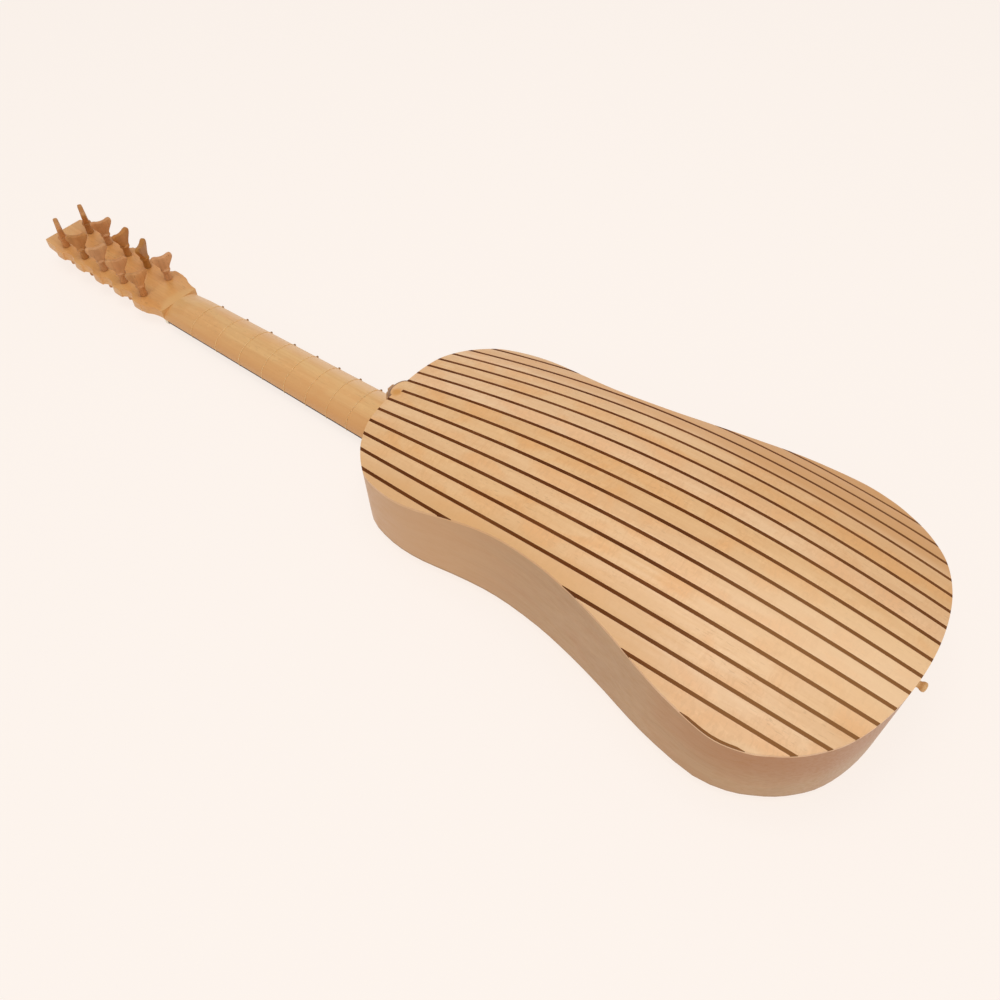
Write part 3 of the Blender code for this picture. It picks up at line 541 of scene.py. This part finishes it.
def wood(
    name, colour, dark, warm, along="X", fibre=1.0, flecks=0.5, patches=0.4, tints=None, rough=0.4, shine=0.5,
    figure=0.0, fades=(),
):
    """Varnished wood: fibres along one axis, short dark flecks, warm cloudy patches and a slight relief.

    Figure is the strength of the fine curl that runs across the fibres in clouds.

    With tints set to a low and a high value, each piece has its own tint between them and its own stretch of
    grain, from its attribute. With fades, further colours come in, each by a share made from the piece's own
    x, y, z."""
    n = Nodes(name)
    axis = "XYZ".index(along)
    offset = None
    tint = None
    if tints:
        tint = n.new("ShaderNodeAttribute", attribute_name="tint").outputs["Fac"]
        offset = n.new("ShaderNodeCombineXYZ")
        n.feed(offset.inputs[0], n.math("MULTIPLY", tint, 3.1))
        n.feed(offset.inputs[2], n.math("MULTIPLY", tint, 7.7))
        offset = offset.outputs[0]

    def stretched(long_scale, cross_scale):
        scale = [cross_scale] * 3
        scale[axis] = long_scale
        return n.coords(scale, offset)

    fine = n.noise(stretched(9.0, 420.0), fibre, 4.0, 0.6)
    bands = n.noise(stretched(2.2, 90.0), 1.0, 3.0, 0.55, 0.4)
    cloud = n.noise(stretched(22.0, 40.0), 1.0, 2.0, 0.55, 0.5)
    mottle = n.noise(stretched(120.0, 260.0), 1.0, 2.0, 0.5, 0.6)
    dash = n.noise(stretched(150.0, 900.0), 1.0, 2.0, 0.5)
    where = n.noise(stretched(12.0, 30.0), 1.0, 1.0)
    base = n.mix(n.ramp(bands, 0.35, 0.68, 0.0, 0.45), colour, dark)
    base = n.mix(n.ramp(cloud, 0.42, 0.66, 0.0, patches), base, warm)
    base = n.mix(n.ramp(fine, 0.42, 0.75, 0.0, 0.35), base, dark)
    speck = n.math("MULTIPLY", n.ramp(dash, 0.60, 0.70), n.ramp(where, 0.42, 0.62, 0.15, 1.0))
    base = n.mix(n.math("MULTIPLY", speck, flecks), base, tuple(c * 0.55 for c in dark))
    light = tuple(min(c * 1.18, 0.95) for c in colour)
    base = n.mix(n.ramp(mottle, 0.55, 0.72, 0.0, 0.22), base, light)
    if figure:
        curl = n.noise(stretched(420.0, 170.0), 1.0, 2.0, 0.5, 0.8)
        curl = n.math("MULTIPLY", n.ramp(curl, 0.48, 0.62, 0.0, figure), n.ramp(cloud, 0.4, 0.55, 0.3, 1.0))
        base = n.mix(curl, base, dark)
    if fades:
        parts = n.new("ShaderNodeSeparateXYZ")
        n.link(n.coords((1.0, 1.0, 1.0)), parts.inputs[0])
        for second, share in fades:
            base = n.mix(share(n, *parts.outputs), base, second)
    if tints:
        hue = n.new("ShaderNodeHueSaturation")
        n.feed(hue.inputs["Value"], n.ramp(tint, 0.0, 1.0, *tints))
        n.feed(hue.inputs["Saturation"], n.ramp(tint, 0.0, 1.0, 1.1, 0.92))
        n.link(base, hue.inputs["Color"])
        base = hue.outputs["Color"]
    n.link(base, n.shader.inputs["Base Color"])
    n.link(n.ramp(fine, 0.3, 0.8, rough - 0.06, rough + 0.1), n.shader.inputs["Roughness"])
    height = n.math("SUBTRACT", n.math("MULTIPLY", fine, 0.5), n.math("MULTIPLY", speck, 0.6))
    n.bump(height, 0.35, 0.0002)
    n.shader.inputs["Specular IOR Level"].default_value = shine
    return n.material


def plain(name, colour, second, rough, scale, stretch=(1.0, 1.0, 1.0), strength=0.2, subsurface=0.0):
    """A smooth material with a cloudy second tone, for bone, gut, parchment and dark wood."""
    n = Nodes(name)
    vector = n.coords(stretch)
    cloud = n.noise(vector, scale, 4.0, 0.6)
    n.link(n.mix(n.ramp(cloud, 0.35, 0.7), colour, second), n.shader.inputs["Base Color"])
    n.link(n.ramp(cloud, 0.3, 0.7, rough - 0.05, rough + 0.08), n.shader.inputs["Roughness"])
    n.shader.inputs["Subsurface Weight"].default_value = subsurface
    n.bump(cloud, strength, 0.0002)
    return n.material




def tab_glow(n, x, y, z):
    """A round spot on the tab, beside the middle fillet's end."""
    dx = n.math("SUBTRACT", x, SHIFT.x + 0.002)
    dy = n.math("SUBTRACT", y, (TAB_CENTRE - 5.0) * MM)
    away = n.math("SQRT", n.math("ADD", n.math("MULTIPLY", dx, dx), n.math("MULTIPLY", dy, dy)))
    return n.ramp(away, 0.002, 0.0065, 0.85, 0.0)


# Painted light on the fillets towards the tail, strongest on the near side.
def tailward_light(n, x, y, z):
    return n.math("MULTIPLY", n.ramp(x, 0.3, 0.4), n.ramp(y, -0.05, 0.02, 1.0, 0.3))


def shade_under_tail_edge(n, x, y, z):
    """Painted shade just under the back's edge, round the lower bout."""
    return n.math("MULTIPLY", n.ramp(x, 0.31, 0.42, 0.0, 0.8), n.ramp(z, 0.02, 0.062))


# Painted light on the ribs towards the neck end, over the upper bout.
def upper_bout_light(n, x, y, z):
    return n.ramp(x, 0.12, 0.24, 0.7, 0.0)


def far_side(n, x, y, z):
    """Painted shade on the back's far edge, most of all at the lower bout."""
    edge = n.math("MULTIPLY", n.ramp(x, 0.05, 0.32, 0.4, 0.7), n.ramp(y, 0.064, 0.078))
    return n.math("ADD", edge, n.math("MULTIPLY", n.ramp(x, 0.24, 0.34, 0.0, 0.3), n.ramp(y, 0.0, 0.05)))


# Painted shade along the back's near edge, towards the neck end.
def shade_near_upper_side(n, x, y, z):
    return n.math("MULTIPLY", n.ramp(x, 0.3, 0.37, 0.75, 0.0), n.ramp(y, -0.092, -0.066, 1.0, 0.0))


# Painted light over the back's middle towards the tail, a little to the near side.
def light_on_middle_of_tail(n, x, y, z):
    away = n.math("ABSOLUTE", n.math("ADD", y, 0.034))
    return n.math("MULTIPLY", n.ramp(x, 0.3, 0.45, 0.0, 0.55), n.ramp(away, 0.015, 0.05, 1.0, 0.0))


# Painted shade on the neck's near side.
def neck_near_side_shade(n, x, y, z):
    return n.ramp(y, -0.022, -0.006, 0.75, 0.0)


# Painted highlight, pale and pinkish, along the neck's far side.
def neck_far_side_highlight(n, x, y, z):
    return n.ramp(y, 0.004, 0.017, 0.0, 0.6)


def near_neck(n, x, y, z):
    """A tongue at the head's start, where it takes the neck's colour."""
    bulge = n.math("ADD", x, n.math("MULTIPLY", n.math("MULTIPLY", y, y), 20.0))
    return n.ramp(bulge, 0.007, 0.014, 0.8, 0.0)


def heel_shade_under_tab(n, x, y, z):
    """Painted shade on the top of the heel, under the tab."""
    return n.math("MULTIPLY", n.ramp(x, SHIFT.x - 0.022, SHIFT.x - 0.012), n.ramp(z, 0.056, 0.066, 0.0, 0.9))


def side_faces(n, x, y, z):
    parts = n.new("ShaderNodeSeparateXYZ")
    n.link(n.new("ShaderNodeNewGeometry").outputs["Normal"], parts.inputs[0])
    return n.ramp(n.math("ABSOLUTE", parts.outputs[2]), 0.3, 0.8, 1.0, 0.0)


STAVE = wood(
    "stave_wood",
    linear((232, 190, 142)),
    linear((216, 168, 118)),
    linear((230, 169, 108)),
    flecks=0.3,
    patches=0.55,
    figure=0.45,
    tints=(0.95, 1.04),
    fades=(
        # painted shade on the back's far edge
        (linear((206, 148, 80)), far_side),
        # painted shade along the back's near edge
        (linear((214, 164, 106)), shade_near_upper_side),
        # painted light over the middle of the tail
        (linear((246, 210, 168)), light_on_middle_of_tail),
        (linear((206, 146, 74)), tab_glow),
    ),
)
FILLET = wood(
    "fillet_wood",
    linear((102, 52, 10)),
    linear((76, 36, 6)),
    linear((128, 76, 34)),
    flecks=0.15,
    rough=0.6,
    shine=0.1,
    # painted light on the fillets towards the tail
    fades=((linear((138, 92, 50)), tailward_light),),
)
# The ribs' own wood, with its colours darkened further as painted shade, since the sides face away from the light.
RIB = wood(
    "rib_wood",
    linear((186, 144, 98)),
    linear((174, 131, 86)),
    linear((184, 132, 84)),
    flecks=0.08,
    patches=0.4,
    fades=(
        # painted light on the ribs of the upper bout
        (linear((208, 160, 112)), upper_bout_light),
        # painted shade under the back's edge
        (linear((172, 110, 52)), shade_under_tail_edge),
    ),
)
# Painted shade: the dark colour of the tab's rounded edge, which faces away from the light.
RIM = wood("tab_rim_shade", linear((142, 102, 68)), linear((108, 72, 44)), linear((166, 108, 58)), flecks=0.3)
NECK = wood(
    "neck_wood",
    linear((226, 181, 120)),
    linear((204, 150, 90)),
    linear((218, 154, 90)),
    flecks=0.3,
    fades=(
        # painted shade on the neck's near side
        (linear((208, 150, 90)), neck_near_side_shade),
        # painted highlight along the neck's far side
        (linear((236, 194, 152)), neck_far_side_highlight),
        # painted shade on the heel under the tab
        (linear((172, 124, 78)), heel_shade_under_tab),
    ),
)
HEAD = wood(
    "head_wood",
    linear((222, 167, 102)),
    linear((195, 136, 75)),
    linear((214, 142, 76)),
    flecks=0.35,
    fades=((linear((218, 168, 106)), near_neck),),
)
SPRUCE = wood(
    "spruce",
    linear((226, 192, 142)),
    linear((198, 156, 102)),
    linear((220, 178, 122)),
    flecks=0.15,
    fades=((linear((174, 132, 90)), side_faces),),
)
PEG = wood(
    "peg_wood",
    linear((206, 148, 90)),
    linear((160, 102, 52)),
    linear((198, 120, 56)),
    along="Z",
    tints=(0.74, 1.1),
    rough=0.5,
    shine=0.3,
)
EBONY = wood("ebony", linear((52, 38, 32)), linear((26, 18, 16)), linear((60, 40, 30)), flecks=0.4, patches=0.3)
BONE = plain("bone", linear((236, 226, 200)), linear((216, 202, 168)), 0.3, 60.0, subsurface=0.1)
GUT = plain("gut", linear((244, 200, 134)), linear((228, 178, 114)), 0.35, 300.0, strength=0.1, subsurface=0.2)
KNOT = plain("gut_knot", linear((160, 118, 76)), linear((118, 82, 52)), 0.5, 300.0)
PARCHMENT = plain("parchment", linear((226, 204, 160)), linear((204, 176, 128)), 0.55, 90.0)

for node, material in (
    ("soundboard", SPRUCE),
    ("end_block", SPRUCE),
    ("neck_block", SPRUCE),
    ("fingerboard", EBONY),
    ("bridge", EBONY),
    ("nut", BONE),
    ("rose", PARCHMENT),
):
    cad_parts[node].data.materials.clear()
    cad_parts[node].data.materials.append(material)

# Back: eighteen staves and seventeen fillets, cut to the outline

PRISM = column("prism", full_outline(), -20.0, BODY_DEPTH + 20.0)
TAB_PRISM = column("tab_prism", outline_with_tab(TAB_RIM), -20.0, BODY_DEPTH + 20.0)
STATIONS = np.linspace(-14.0, BODY_LENGTH + 6.0, 84)
SHARES = (0.0, 0.08, 0.35, 0.65, 0.92, 1.0)


def strip(name, edges, depth, prism, ends=(-99.0, 999.0), under=None):
    """A strip of the vault, flat across, between the two arcs that edges gives for x, cut to the outline.

    With under, its lower half reaches out to those two arcs, below the fillets beside it."""
    stations = [x for x in STATIONS if ends[0] < x < ends[1]]
    stations = [x for x in ends[:1] if x > STATIONS[0]] + stations + [x for x in ends[1:] if x < STATIONS[-1]]
    rings = []
    for x in stations:
        low, high = (np.array(vault_point(x, arc)) for arc in edges(x))
        top, bottom = [], []
        for share in SHARES:
            _, y, z = low + (high - low) * share
            dip = EDGE_DIP if share in (0.0, 1.0) else 0.0
            top.append((x, y, z - LOWERED - dip))
            bottom.append((x, y, z - LOWERED - depth))
        if under:
            feet = [vault_point(x, arc) for arc in under(x)]
            steps = [[(x, y, z - LOWERED - down) for _, y, z in feet] for down in (FILLET_DEPTH, depth)]
            (low_step, high_step), (low_foot, high_foot) = steps
            walls = [(x, y, z - LOWERED - FILLET_DEPTH) for _, y, z in (low, high)]
            bottom = [walls[0], low_step, low_foot] + bottom[1:-1] + [high_foot, high_step, walls[1]]
        rings.append(top + bottom[::-1])
    return baked_boolean(loft(name, rings), prism, "INTERSECT")


def set_tint(mesh, value):
    attribute = mesh.attributes.new("tint", "FLOAT", "POINT")
    attribute.data.foreach_set("value", np.full(len(mesh.vertices), value, np.float32))


def add_stave(name, edges, tint, **ends):
    mesh = strip(name, edges, BACK_THICKNESS, TAB_PRISM, **ends)
    set_tint(mesh, tint)
    add(name, mesh, STAVE, ["back_staves"])


def make_back():
    rng = np.random.default_rng(5)
    last = FILLET_SIDE_COUNT
    for k in range(-last - 1, last + 1):
        if k < -last and lies_on_edge(-last):
            continue

        def edges(x, k=k):
            beyond = 22.0
            low = fillet_edges(x, k)[1] if k >= -last else fillet_arc(x, -last) - beyond
            high = fillet_edges(x, k + 1)[0] if k < last else fillet_arc(x, last) + beyond
            return low, high

        def under(x, k=k):
            low, high = edges(x)
            low = min(fillet_arc(x, k), low) if k > -last else fillet_edges(x, k)[0] if k == -last else low
            high = max(fillet_arc(x, k + 1), high) if k + 1 < last else fillet_edges(x, k + 1)[1] if k < last else high
            return low, high

        add_stave(f"stave_{k + last + 2}", edges, 0.3 + 0.5 * rng.random(), under=under)
    add_stave("tab_wood", lambda x: fillet_edges(x, 0), 0.5, ends=(-99.0, MIDDLE_FILLET_START))
    for k in range(-last, last + 1):
        base = "fillet_centre" if k == 0 else f"fillet_{'left' if k < 0 else 'right'}_{abs(k)}"
        nodes = [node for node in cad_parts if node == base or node.startswith(base + "_")]
        start = MIDDLE_FILLET_START if k == 0 else -99.0
        mesh = strip(f"fine_{base}", lambda x: fillet_edges(x, k), FILLET_DEPTH, PRISM, ends=(start, 999.0))
        add(f"fine_{base}", mesh, FILLET, nodes)


def make_tab_rim():
    """The rounded edge of the tab over the heel, coloured dark as painted shade."""
    rings = []
    for angle in np.linspace(0, math.pi, 41):
        ring = []
        for inset, drop in ((TAB_RIM, 0.0), (1.8, 0.2), (0.9, 0.7), (0.3, 1.4), (0.0, 2.1)):
            x = 0.2 - (TAB_REACH - inset) * math.sin(angle)
            y = TAB_CENTRE + (TAB_HALF_WIDTH - inset) * math.cos(angle)
            ring.append((x, y, back_height(x, y) - LOWERED - drop))
        outer, inner = ring[-1], ring[0]
        ring += [(x, y, back_height(x, y) - LOWERED - BACK_THICKNESS) for x, y, _ in (outer, inner)]
        rings.append(ring)
    add("tab_rim", loft("tab_rim", rings, 60.0), RIM, ["back_staves"])


def make_ribs():
    outer, inner = outline_half(), inset_half(RIB_THICKNESS)
    for name, side in (("rib_right", 1), ("rib_left", -1)):
        rings = []
        for (ox, oy), (ix, iy) in zip(outer, inner):
            oy, iy = max(oy, 0.01), max(iy, 0.01)
            top = back_height(ox, side * oy) - BACK_THICKNESS - LOWERED
            low = SOUNDBOARD_THICKNESS
            rings.append([(ox, side * oy, low), (ox, side * oy, top), (ix, side * iy, top), (ix, side * iy, low)])
        add(f"fine_{name}", loft(f"fine_{name}", rings), RIB, [name])


def make_button():
    stem, head, proud = BUTTON_STEM_RADIUS, BUTTON_HEAD_RADIUS, BUTTON_PROUD
    profile = [
        (head * 0.2, proud),
        (head * 0.62, proud * 0.97),
        (head * 0.88, proud * 0.91),
        (head * 0.99, proud * 0.8),
        (head * 0.99, proud * 0.69),
        (head * 0.9, proud * 0.56),
        (head * 0.74, proud * 0.45),
        (stem * 1.12, proud * 0.34),
        (stem * 1.15, proud * 0.25),
        (stem * 1.35, 0.9),
        (stem * 1.42, 0.05),
        (stem, 0.0),
        (stem * 0.85, -BLOCK_LENGTH * 0.7),
    ]
    place = Matrix.Translation(spot(BODY_LENGTH, 0, BUTTON_HEIGHT)) @ Matrix.Rotation(math.pi / 2, 4, "Y")
    add("fine_button", turned("fine_button", profile), NECK, ["end_button"], matrix=place)


def make_neck():
    head_end = -NECK_LENGTH - NECK_END - GAP
    stations = list(np.linspace(head_end, -HEEL_LENGTH, 50)) + list(np.linspace(-HEEL_LENGTH, -0.05, 50)[1:])
    rings = []
    for x in stations:
        ring = []
        for y, z in neck_section(x):
            lean = (z - HEAD_SET_BACK) * math.tan(HEAD_TILT) if x == head_end else 0.0
            ring.append((x + lean, y, z))
        rings.append(ring)
    add("fine_neck", loft("fine_neck", rings, 50.0), NECK, ["neck"])


def make_frets():
    """Gut loops with a knot on the right of the neck's back."""
    radius = FRET_GUT * 0.4
    for n in range(1, TIED_FRETS + 1):
        x = -NECK_LENGTH + STRING_LENGTH * (1 - 2 ** (-n / 12))
        off = radius * 0.6
        path = neck_section(x, off, 48)
        half = neck_width(x) / 2 + off
        path += [(-half, -off * 0.4), (-half + 0.6, -off), (half - 0.6, -off), (half, -off * 0.4)]
        curve = bpy.data.curves.new(f"fine_fret_{n}", "CURVE")
        curve.dimensions = "3D"
        curve.bevel_depth = radius * MM
        curve.bevel_resolution = 3
        spline = curve.splines.new("POLY")
        spline.points.add(len(path) - 1)
        for point, (y, z) in zip(spline.points, path):
            point.co = (0, y * MM, z * MM, 1)
        spline.use_cyclic_u = True
        name = f"tied_fret_{n}"
        add(f"fine_fret_{n}", curve, GUT, [name], name, Matrix.Translation(spot(x, 0, 0)))
        knot = [(0.25, 1.2), (0.6, 0.95), (0.85, 0.4), (0.85, -0.4), (0.6, -0.95), (0.25, -1.2)]
        y, z = neck_section(x, 0.6, 48)[7]
        place = Matrix.Translation(spot(x, y, z)) @ Matrix.Rotation(math.pi / 2, 4, "Y")
        add(f"fret_knot_{n}", turned(f"fret_knot_{n}", knot, 16), KNOT, [name], name, place)


# Head and pegs, in the head's own axes: +X away from the body, +Z out of its back face

HEAD_START = Vector((-NECK_LENGTH - NECK_END - GAP, 0, HEAD_SET_BACK))
HEAD_MATRIX = Matrix.Translation(HEAD_START) @ Matrix.Rotation(HEAD_TILT, 4, "Y") @ Matrix.Rotation(math.pi, 4, "Z")
HEAD_PLACE = Matrix.Translation(SHIFT + HEAD_START * MM) @ HEAD_MATRIX.to_3x3().to_4x4()


def head_outline():
    """The head's outline: an ear at the first pegs, a lobe at each later pair and an angular far end."""
    start = neck_width(-NECK_LENGTH) / 2
    side = [(0.0, start), (6.0, start + 0.6), (13.0, start + 2.4), (19.0, start + 5.2), (24.0, HEAD_EAR - 0.6)]
    side += [(26.0, HEAD_EAR), (37.0, HEAD_EAR), (39.5, HEAD_EAR - 2.2)]
    for i in range(1, 5):
        peg = PEG_FIRST + PEG_PITCH * i
        before, lobe = peg - PEG_PITCH / 2, HEAD_LOBE - 0.3 * i
        side += [(before - 5.5, HEAD_DIP + 0.9), (before, HEAD_DIP), (before + 5.0, HEAD_DIP + 0.9)]
        side += [(peg - 7.5, lobe - 1.8), (peg - 6.0, lobe), (peg + 5.0, lobe), (peg + 7.0, lobe - 1.8)]
    side += [(HEAD_LENGTH - 14.0, HEAD_DIP + 1.5), (HEAD_LENGTH - 1.5, HEAD_END), (HEAD_LENGTH, HEAD_END - 1.5)]
    side = [tuple(p) for p in catmull_rom(side, 4)]
    return side + [(x, -y) for x, y in reversed(side)]


def peg_places():
    """(name, distance along the head, distance from the centre line, turn) of each peg, in the head's own axes."""
    places = []
    for i, row in enumerate(PEG_ROWS):
        along = PEG_FIRST + PEG_PITCH * i
        places.append((f"peg_far_{i + 1}", along, -row, PEG_ANGLES_FAR[i]))
        places.append((f"peg_near_{i + 1}", along, row, PEG_ANGLES_NEAR[i]))
    return places


def peg_reach():
    """Length of a peg in front of the head, so that the nearest pair stands level with the bridge's top."""
    rise = HEAD_SET_BACK + PEG_FIRST * math.sin(HEAD_TILT)
    edge = PEG_SHAFT_TIP * math.sin(HEAD_TILT)
    return (BRIDGE_HEIGHT + rise - edge) / math.cos(HEAD_TILT)


def string_places(course_spacing, pair_spacing):
    """Distances of the ten strings from the centre line, the middle course's outwards on one side."""
    side = [pair_spacing / 2]
    for course in (1, 2):
        side += [course * course_spacing - pair_spacing / 2, course * course_spacing + pair_spacing / 2]
    return side


def string_path(index, side):
    """Route of one string, in millimetres: bridge, nut, then tangent to its peg and round it."""
    y_bridge = side * string_places(COURSE_SPACING_BRIDGE, PAIR_SPACING_BRIDGE)[index]
    y_nut = side * string_places(COURSE_SPACING_NUT, PAIR_SPACING_NUT)[index]
    start = Vector((STRING_LENGTH - NECK_LENGTH - GAP, y_bridge, -STRING_HEIGHT_BRIDGE))
    over = Vector((-NECK_LENGTH, y_nut, -STRING_HEIGHT_NUT))
    bend = Vector((-NECK_LENGTH - NUT_WIDTH - 0.8, y_nut, -STRING_HEIGHT_NUT))
    local = HEAD_MATRIX.inverted() @ bend
    peg = 4 - index
    centre = Vector((PEG_FIRST + PEG_PITCH * peg, -side * PEG_ROWS[peg]))
    radius = PEG_SHAFT_TIP + 0.15 + GAP + STRING_GAUGE / 2
    spoke = Vector((local.x, local.y)) - centre
    swing = math.acos(radius / spoke.length)
    heading = math.atan2(spoke.y, spoke.x)
    inner = min((heading + swing, heading - swing), key=lambda a: abs(centre.y + radius * math.sin(a)))
    direction = 1 if inner < heading else -1
    path = [start, over, bend]
    steps = 24
    for i in range(WINDING_TURNS * steps + 1):
        angle = inner + direction * 2 * math.pi * i / steps
        height = -WINDING_START + WINDING_PITCH * i / steps
        spot = Vector((centre.x + radius * math.cos(angle), centre.y + radius * math.sin(angle), height))
        path.append(HEAD_MATRIX @ spot)
    return path


def make_head():
    mesh = column("fine_head", head_outline(), 0.0, HEAD_THICKNESS, 30.0, local)
    for _, along, row, _ in peg_places():
        hole = turned("hole", [(PEG_SHAFT_BACK + 0.15, HEAD_THICKNESS + 5), (PEG_SHAFT_BACK + 0.15, -5.0)], 32)
        hole.transform(Matrix.Translation((along * MM, row * MM, 0)))
        mesh = baked_boolean(mesh, hole, "DIFFERENCE")
    mesh = bevelled(mesh, 0.6, 3, 40.0)
    for vert in mesh.vertices:
        if vert.co.x < 0.61 * MM:
            vert.co.x -= 0.8 * MM
    add("fine_head", mesh, HEAD, ["head"], matrix=HEAD_PLACE)


def peg_mesh():
    back, top = HEAD_THICKNESS, HEAD_THICKNESS + PEG_STUB_HEIGHT
    profile = [
        (PEG_STUB * 0.6, top + 2.2),
        (PEG_STUB * 1.0, top + 0.9),
        (PEG_STUB * 1.25, top + 0.1),
        (PEG_STUB * 1.3, top - 0.9),
        (PEG_STUB * 1.22, top - 1.9),
        (PEG_STUB * 0.98, top - 2.9),
        (PEG_STUB * 0.94, top - 5.0),
        (PEG_STUB * 0.95, top - 10.0),
        (PEG_STUB, back + GAP + 0.4),
        (PEG_SHAFT_BACK, back + GAP),
        (PEG_SHAFT_BACK, back - 2.0),
        (PEG_SHAFT_TIP + 0.1, 0.0),
        (PEG_SHAFT_TIP, -peg_reach() + 1.0),
        (PEG_SHAFT_TIP - 0.2, -peg_reach() + 0.6),
        (PEG_SHAFT_TIP - 0.6, -peg_reach() + 0.42),
    ]
    base = top - 1.5
    wide, high = PEG_WING_WIDTH / 2, PEG_WING_HEIGHT
    side = [(0.36, 0.0), (0.4, 0.16), (0.56, 0.36), (0.8, 0.58), (0.97, 0.76), (1.0, 0.9), (0.86, 0.99)]
    side += [(0.62, 0.99), (0.36, 0.93), (0.0, 0.9)]
    half = [tuple(p) for p in catmull_rom(side, 5)]
    outline = [(u * wide, v * high) for u, v in half] + [(-u * wide, v * high) for u, v in reversed(half[:-1])]
    rings = []
    layers = ((-1.0, 0.84), (-0.92, 0.93), (-0.7, 0.985), (-0.35, 1.0), (0.35, 1.0), (0.7, 0.985), (0.92, 0.93))
    for layer, shrink in layers + ((1.0, 0.84),):
        ring = []
        for u, v in outline:
            thick = PEG_WING_THICKNESS / 2 * (1 - 0.25 * v / high)
            ring.append((u * shrink, layer * thick, base + high * 0.5 + (v - high * 0.5) * shrink))
        rings.append(ring)
    return baked_boolean(turned("peg", profile, 32), loft("wing", rings, 40.0, local), "UNION")


def make_pegs():
    mesh = peg_mesh()
    tints = {"peg_far_1": 1.0, "peg_far_2": 0.15, "peg_far_3": 0.35, "peg_far_4": 0.7, "peg_far_5": 0.45}
    for name, along, row, turn in peg_places():
        place = Matrix.Translation((along * MM, row * MM, 0)) @ Matrix.Rotation(math.radians(turn), 4, "Z")
        peg = mesh.copy()
        set_tint(peg, tints.get(name, 0.45 + 0.12 * (int(name[-1]) % 4)))
        add(f"fine_{name}", peg, PEG, [name], name, HEAD_PLACE @ place)


def make_strings():
    for side, label in ((1, "right"), (-1, "left")):
        for index in range(5):
            path = string_path(index, side)
            name = f"string_{label}_{index + 1}"
            curve = bpy.data.curves.new(f"fine_{name}", "CURVE")
            curve.dimensions = "3D"
            curve.bevel_depth = STRING_GAUGE / 2 * MM
            curve.bevel_resolution = 2
            curve.use_fill_caps = True
            spline = curve.splines.new("POLY")
            spline.points.add(len(path) - 1)
            for point, place in zip(spline.points, path):
                point.co = (*(SHIFT + place * MM), 1)
            add(f"fine_{name}", curve, GUT, [name])


def make_stage():
    n = Nodes("floor")
    colour = linear(BACKGROUND)
    n.feed(n.shader.inputs["Base Color"], tuple(c * 0.15 for c in colour))
    n.shader.inputs["Roughness"].default_value = 0.9
    n.shader.inputs["Specular IOR Level"].default_value = 0.0
    n.feed(n.shader.inputs["Emission Color"], colour)
    n.shader.inputs["Emission Strength"].default_value = 0.872
    bm = bmesh.new()
    bmesh.ops.create_grid(bm, x_segments=1, y_segments=1, size=12.0)
    floor = bpy.data.objects.new("floor", mesh_of("floor", bm))
    bpy.context.scene.collection.objects.link(floor)
    floor.location.z = -0.0005
    floor.data.materials.append(n.material)


def make_lights():
    world = bpy.data.worlds.new("studio")
    bpy.context.scene.world = world
    world.use_nodes = True
    nodes, link = world.node_tree.nodes, world.node_tree.links.new
    light = nodes["Background"]
    light.inputs["Color"].default_value = (1.0, 0.98, 0.96, 1.0)
    light.inputs["Strength"].default_value = 0.5
    seen = nodes.new("ShaderNodeBackground")
    seen.inputs["Color"].default_value = (*linear(BACKGROUND), 1.0)
    path = nodes.new("ShaderNodeLightPath")
    share = path.outputs["Is Camera Ray"]
    for output in ("Is Glossy Ray", "Is Transmission Ray"):
        either = nodes.new("ShaderNodeMath")
        either.operation = "MAXIMUM"
        link(share, either.inputs[0])
        link(path.outputs[output], either.inputs[1])
        share = either.outputs[0]
    mixed = nodes.new("ShaderNodeMixShader")
    link(share, mixed.inputs[0])
    link(light.outputs[0], mixed.inputs[1])
    link(seen.outputs[0], mixed.inputs[2])
    link(mixed.outputs[0], nodes["World Output"].inputs["Surface"])
    for name, place, size, power in (
        ("key", (0.2, -0.2, 2.1), 1.3, 19.0),
        ("fill", (1.4, -1.4, 1.2), 1.2, 4.0),
    ):
        lamp = bpy.data.lights.new(name, "AREA")
        lamp.energy = power
        lamp.size = size
        obj = bpy.data.objects.new(name, lamp)
        bpy.context.scene.collection.objects.link(obj)
        obj.location = place
        aim = Vector((0.1, 0, 0.05)) - Vector(place)
        obj.rotation_euler = aim.to_track_quat("-Z", "Y").to_euler()


def make_camera():
    az, el, roll = CAMERA_AZIMUTH, CAMERA_ELEVATION, CAMERA_ROLL
    view = Vector((-math.sin(az) * math.cos(el), math.cos(az) * math.cos(el), -math.sin(el)))
    right = Vector((math.cos(az), math.sin(az), 0))
    up = right.cross(view)
    rolled = right * math.cos(roll) + up * math.sin(roll)
    raised = -right * math.sin(roll) + up * math.cos(roll)
    a, b = CAMERA_YAW, CAMERA_PITCH
    across = rolled * math.cos(a) - view * math.sin(a)
    ahead = rolled * math.sin(a) + view * math.cos(a)
    above = raised * math.cos(b) - ahead * math.sin(b)
    forward = raised * math.sin(b) + ahead * math.cos(b)
    camera = bpy.data.objects.new("camera", bpy.data.cameras.new("camera"))
    bpy.context.scene.collection.objects.link(camera)
    turn = Matrix((across, above, -forward)).transposed()
    camera.matrix_world = Matrix.Translation(spot(*CAMERA_PLACE)) @ turn.to_4x4()
    camera.data.sensor_width = SENSOR_MM
    camera.data.lens = CAMERA_FOCAL * SENSOR_MM
    camera.data.clip_end = 100.0
    bpy.context.scene.camera = camera


make_camera()
make_lights()
make_stage()
make_back()
make_tab_rim()
make_ribs()
make_button()
make_neck()
make_frets()
make_head()
make_pegs()
make_strings()
bpy.data.meshes.remove(PRISM)
bpy.data.meshes.remove(TAB_PRISM)
bpy.context.scene.view_settings.view_transform = "Standard"
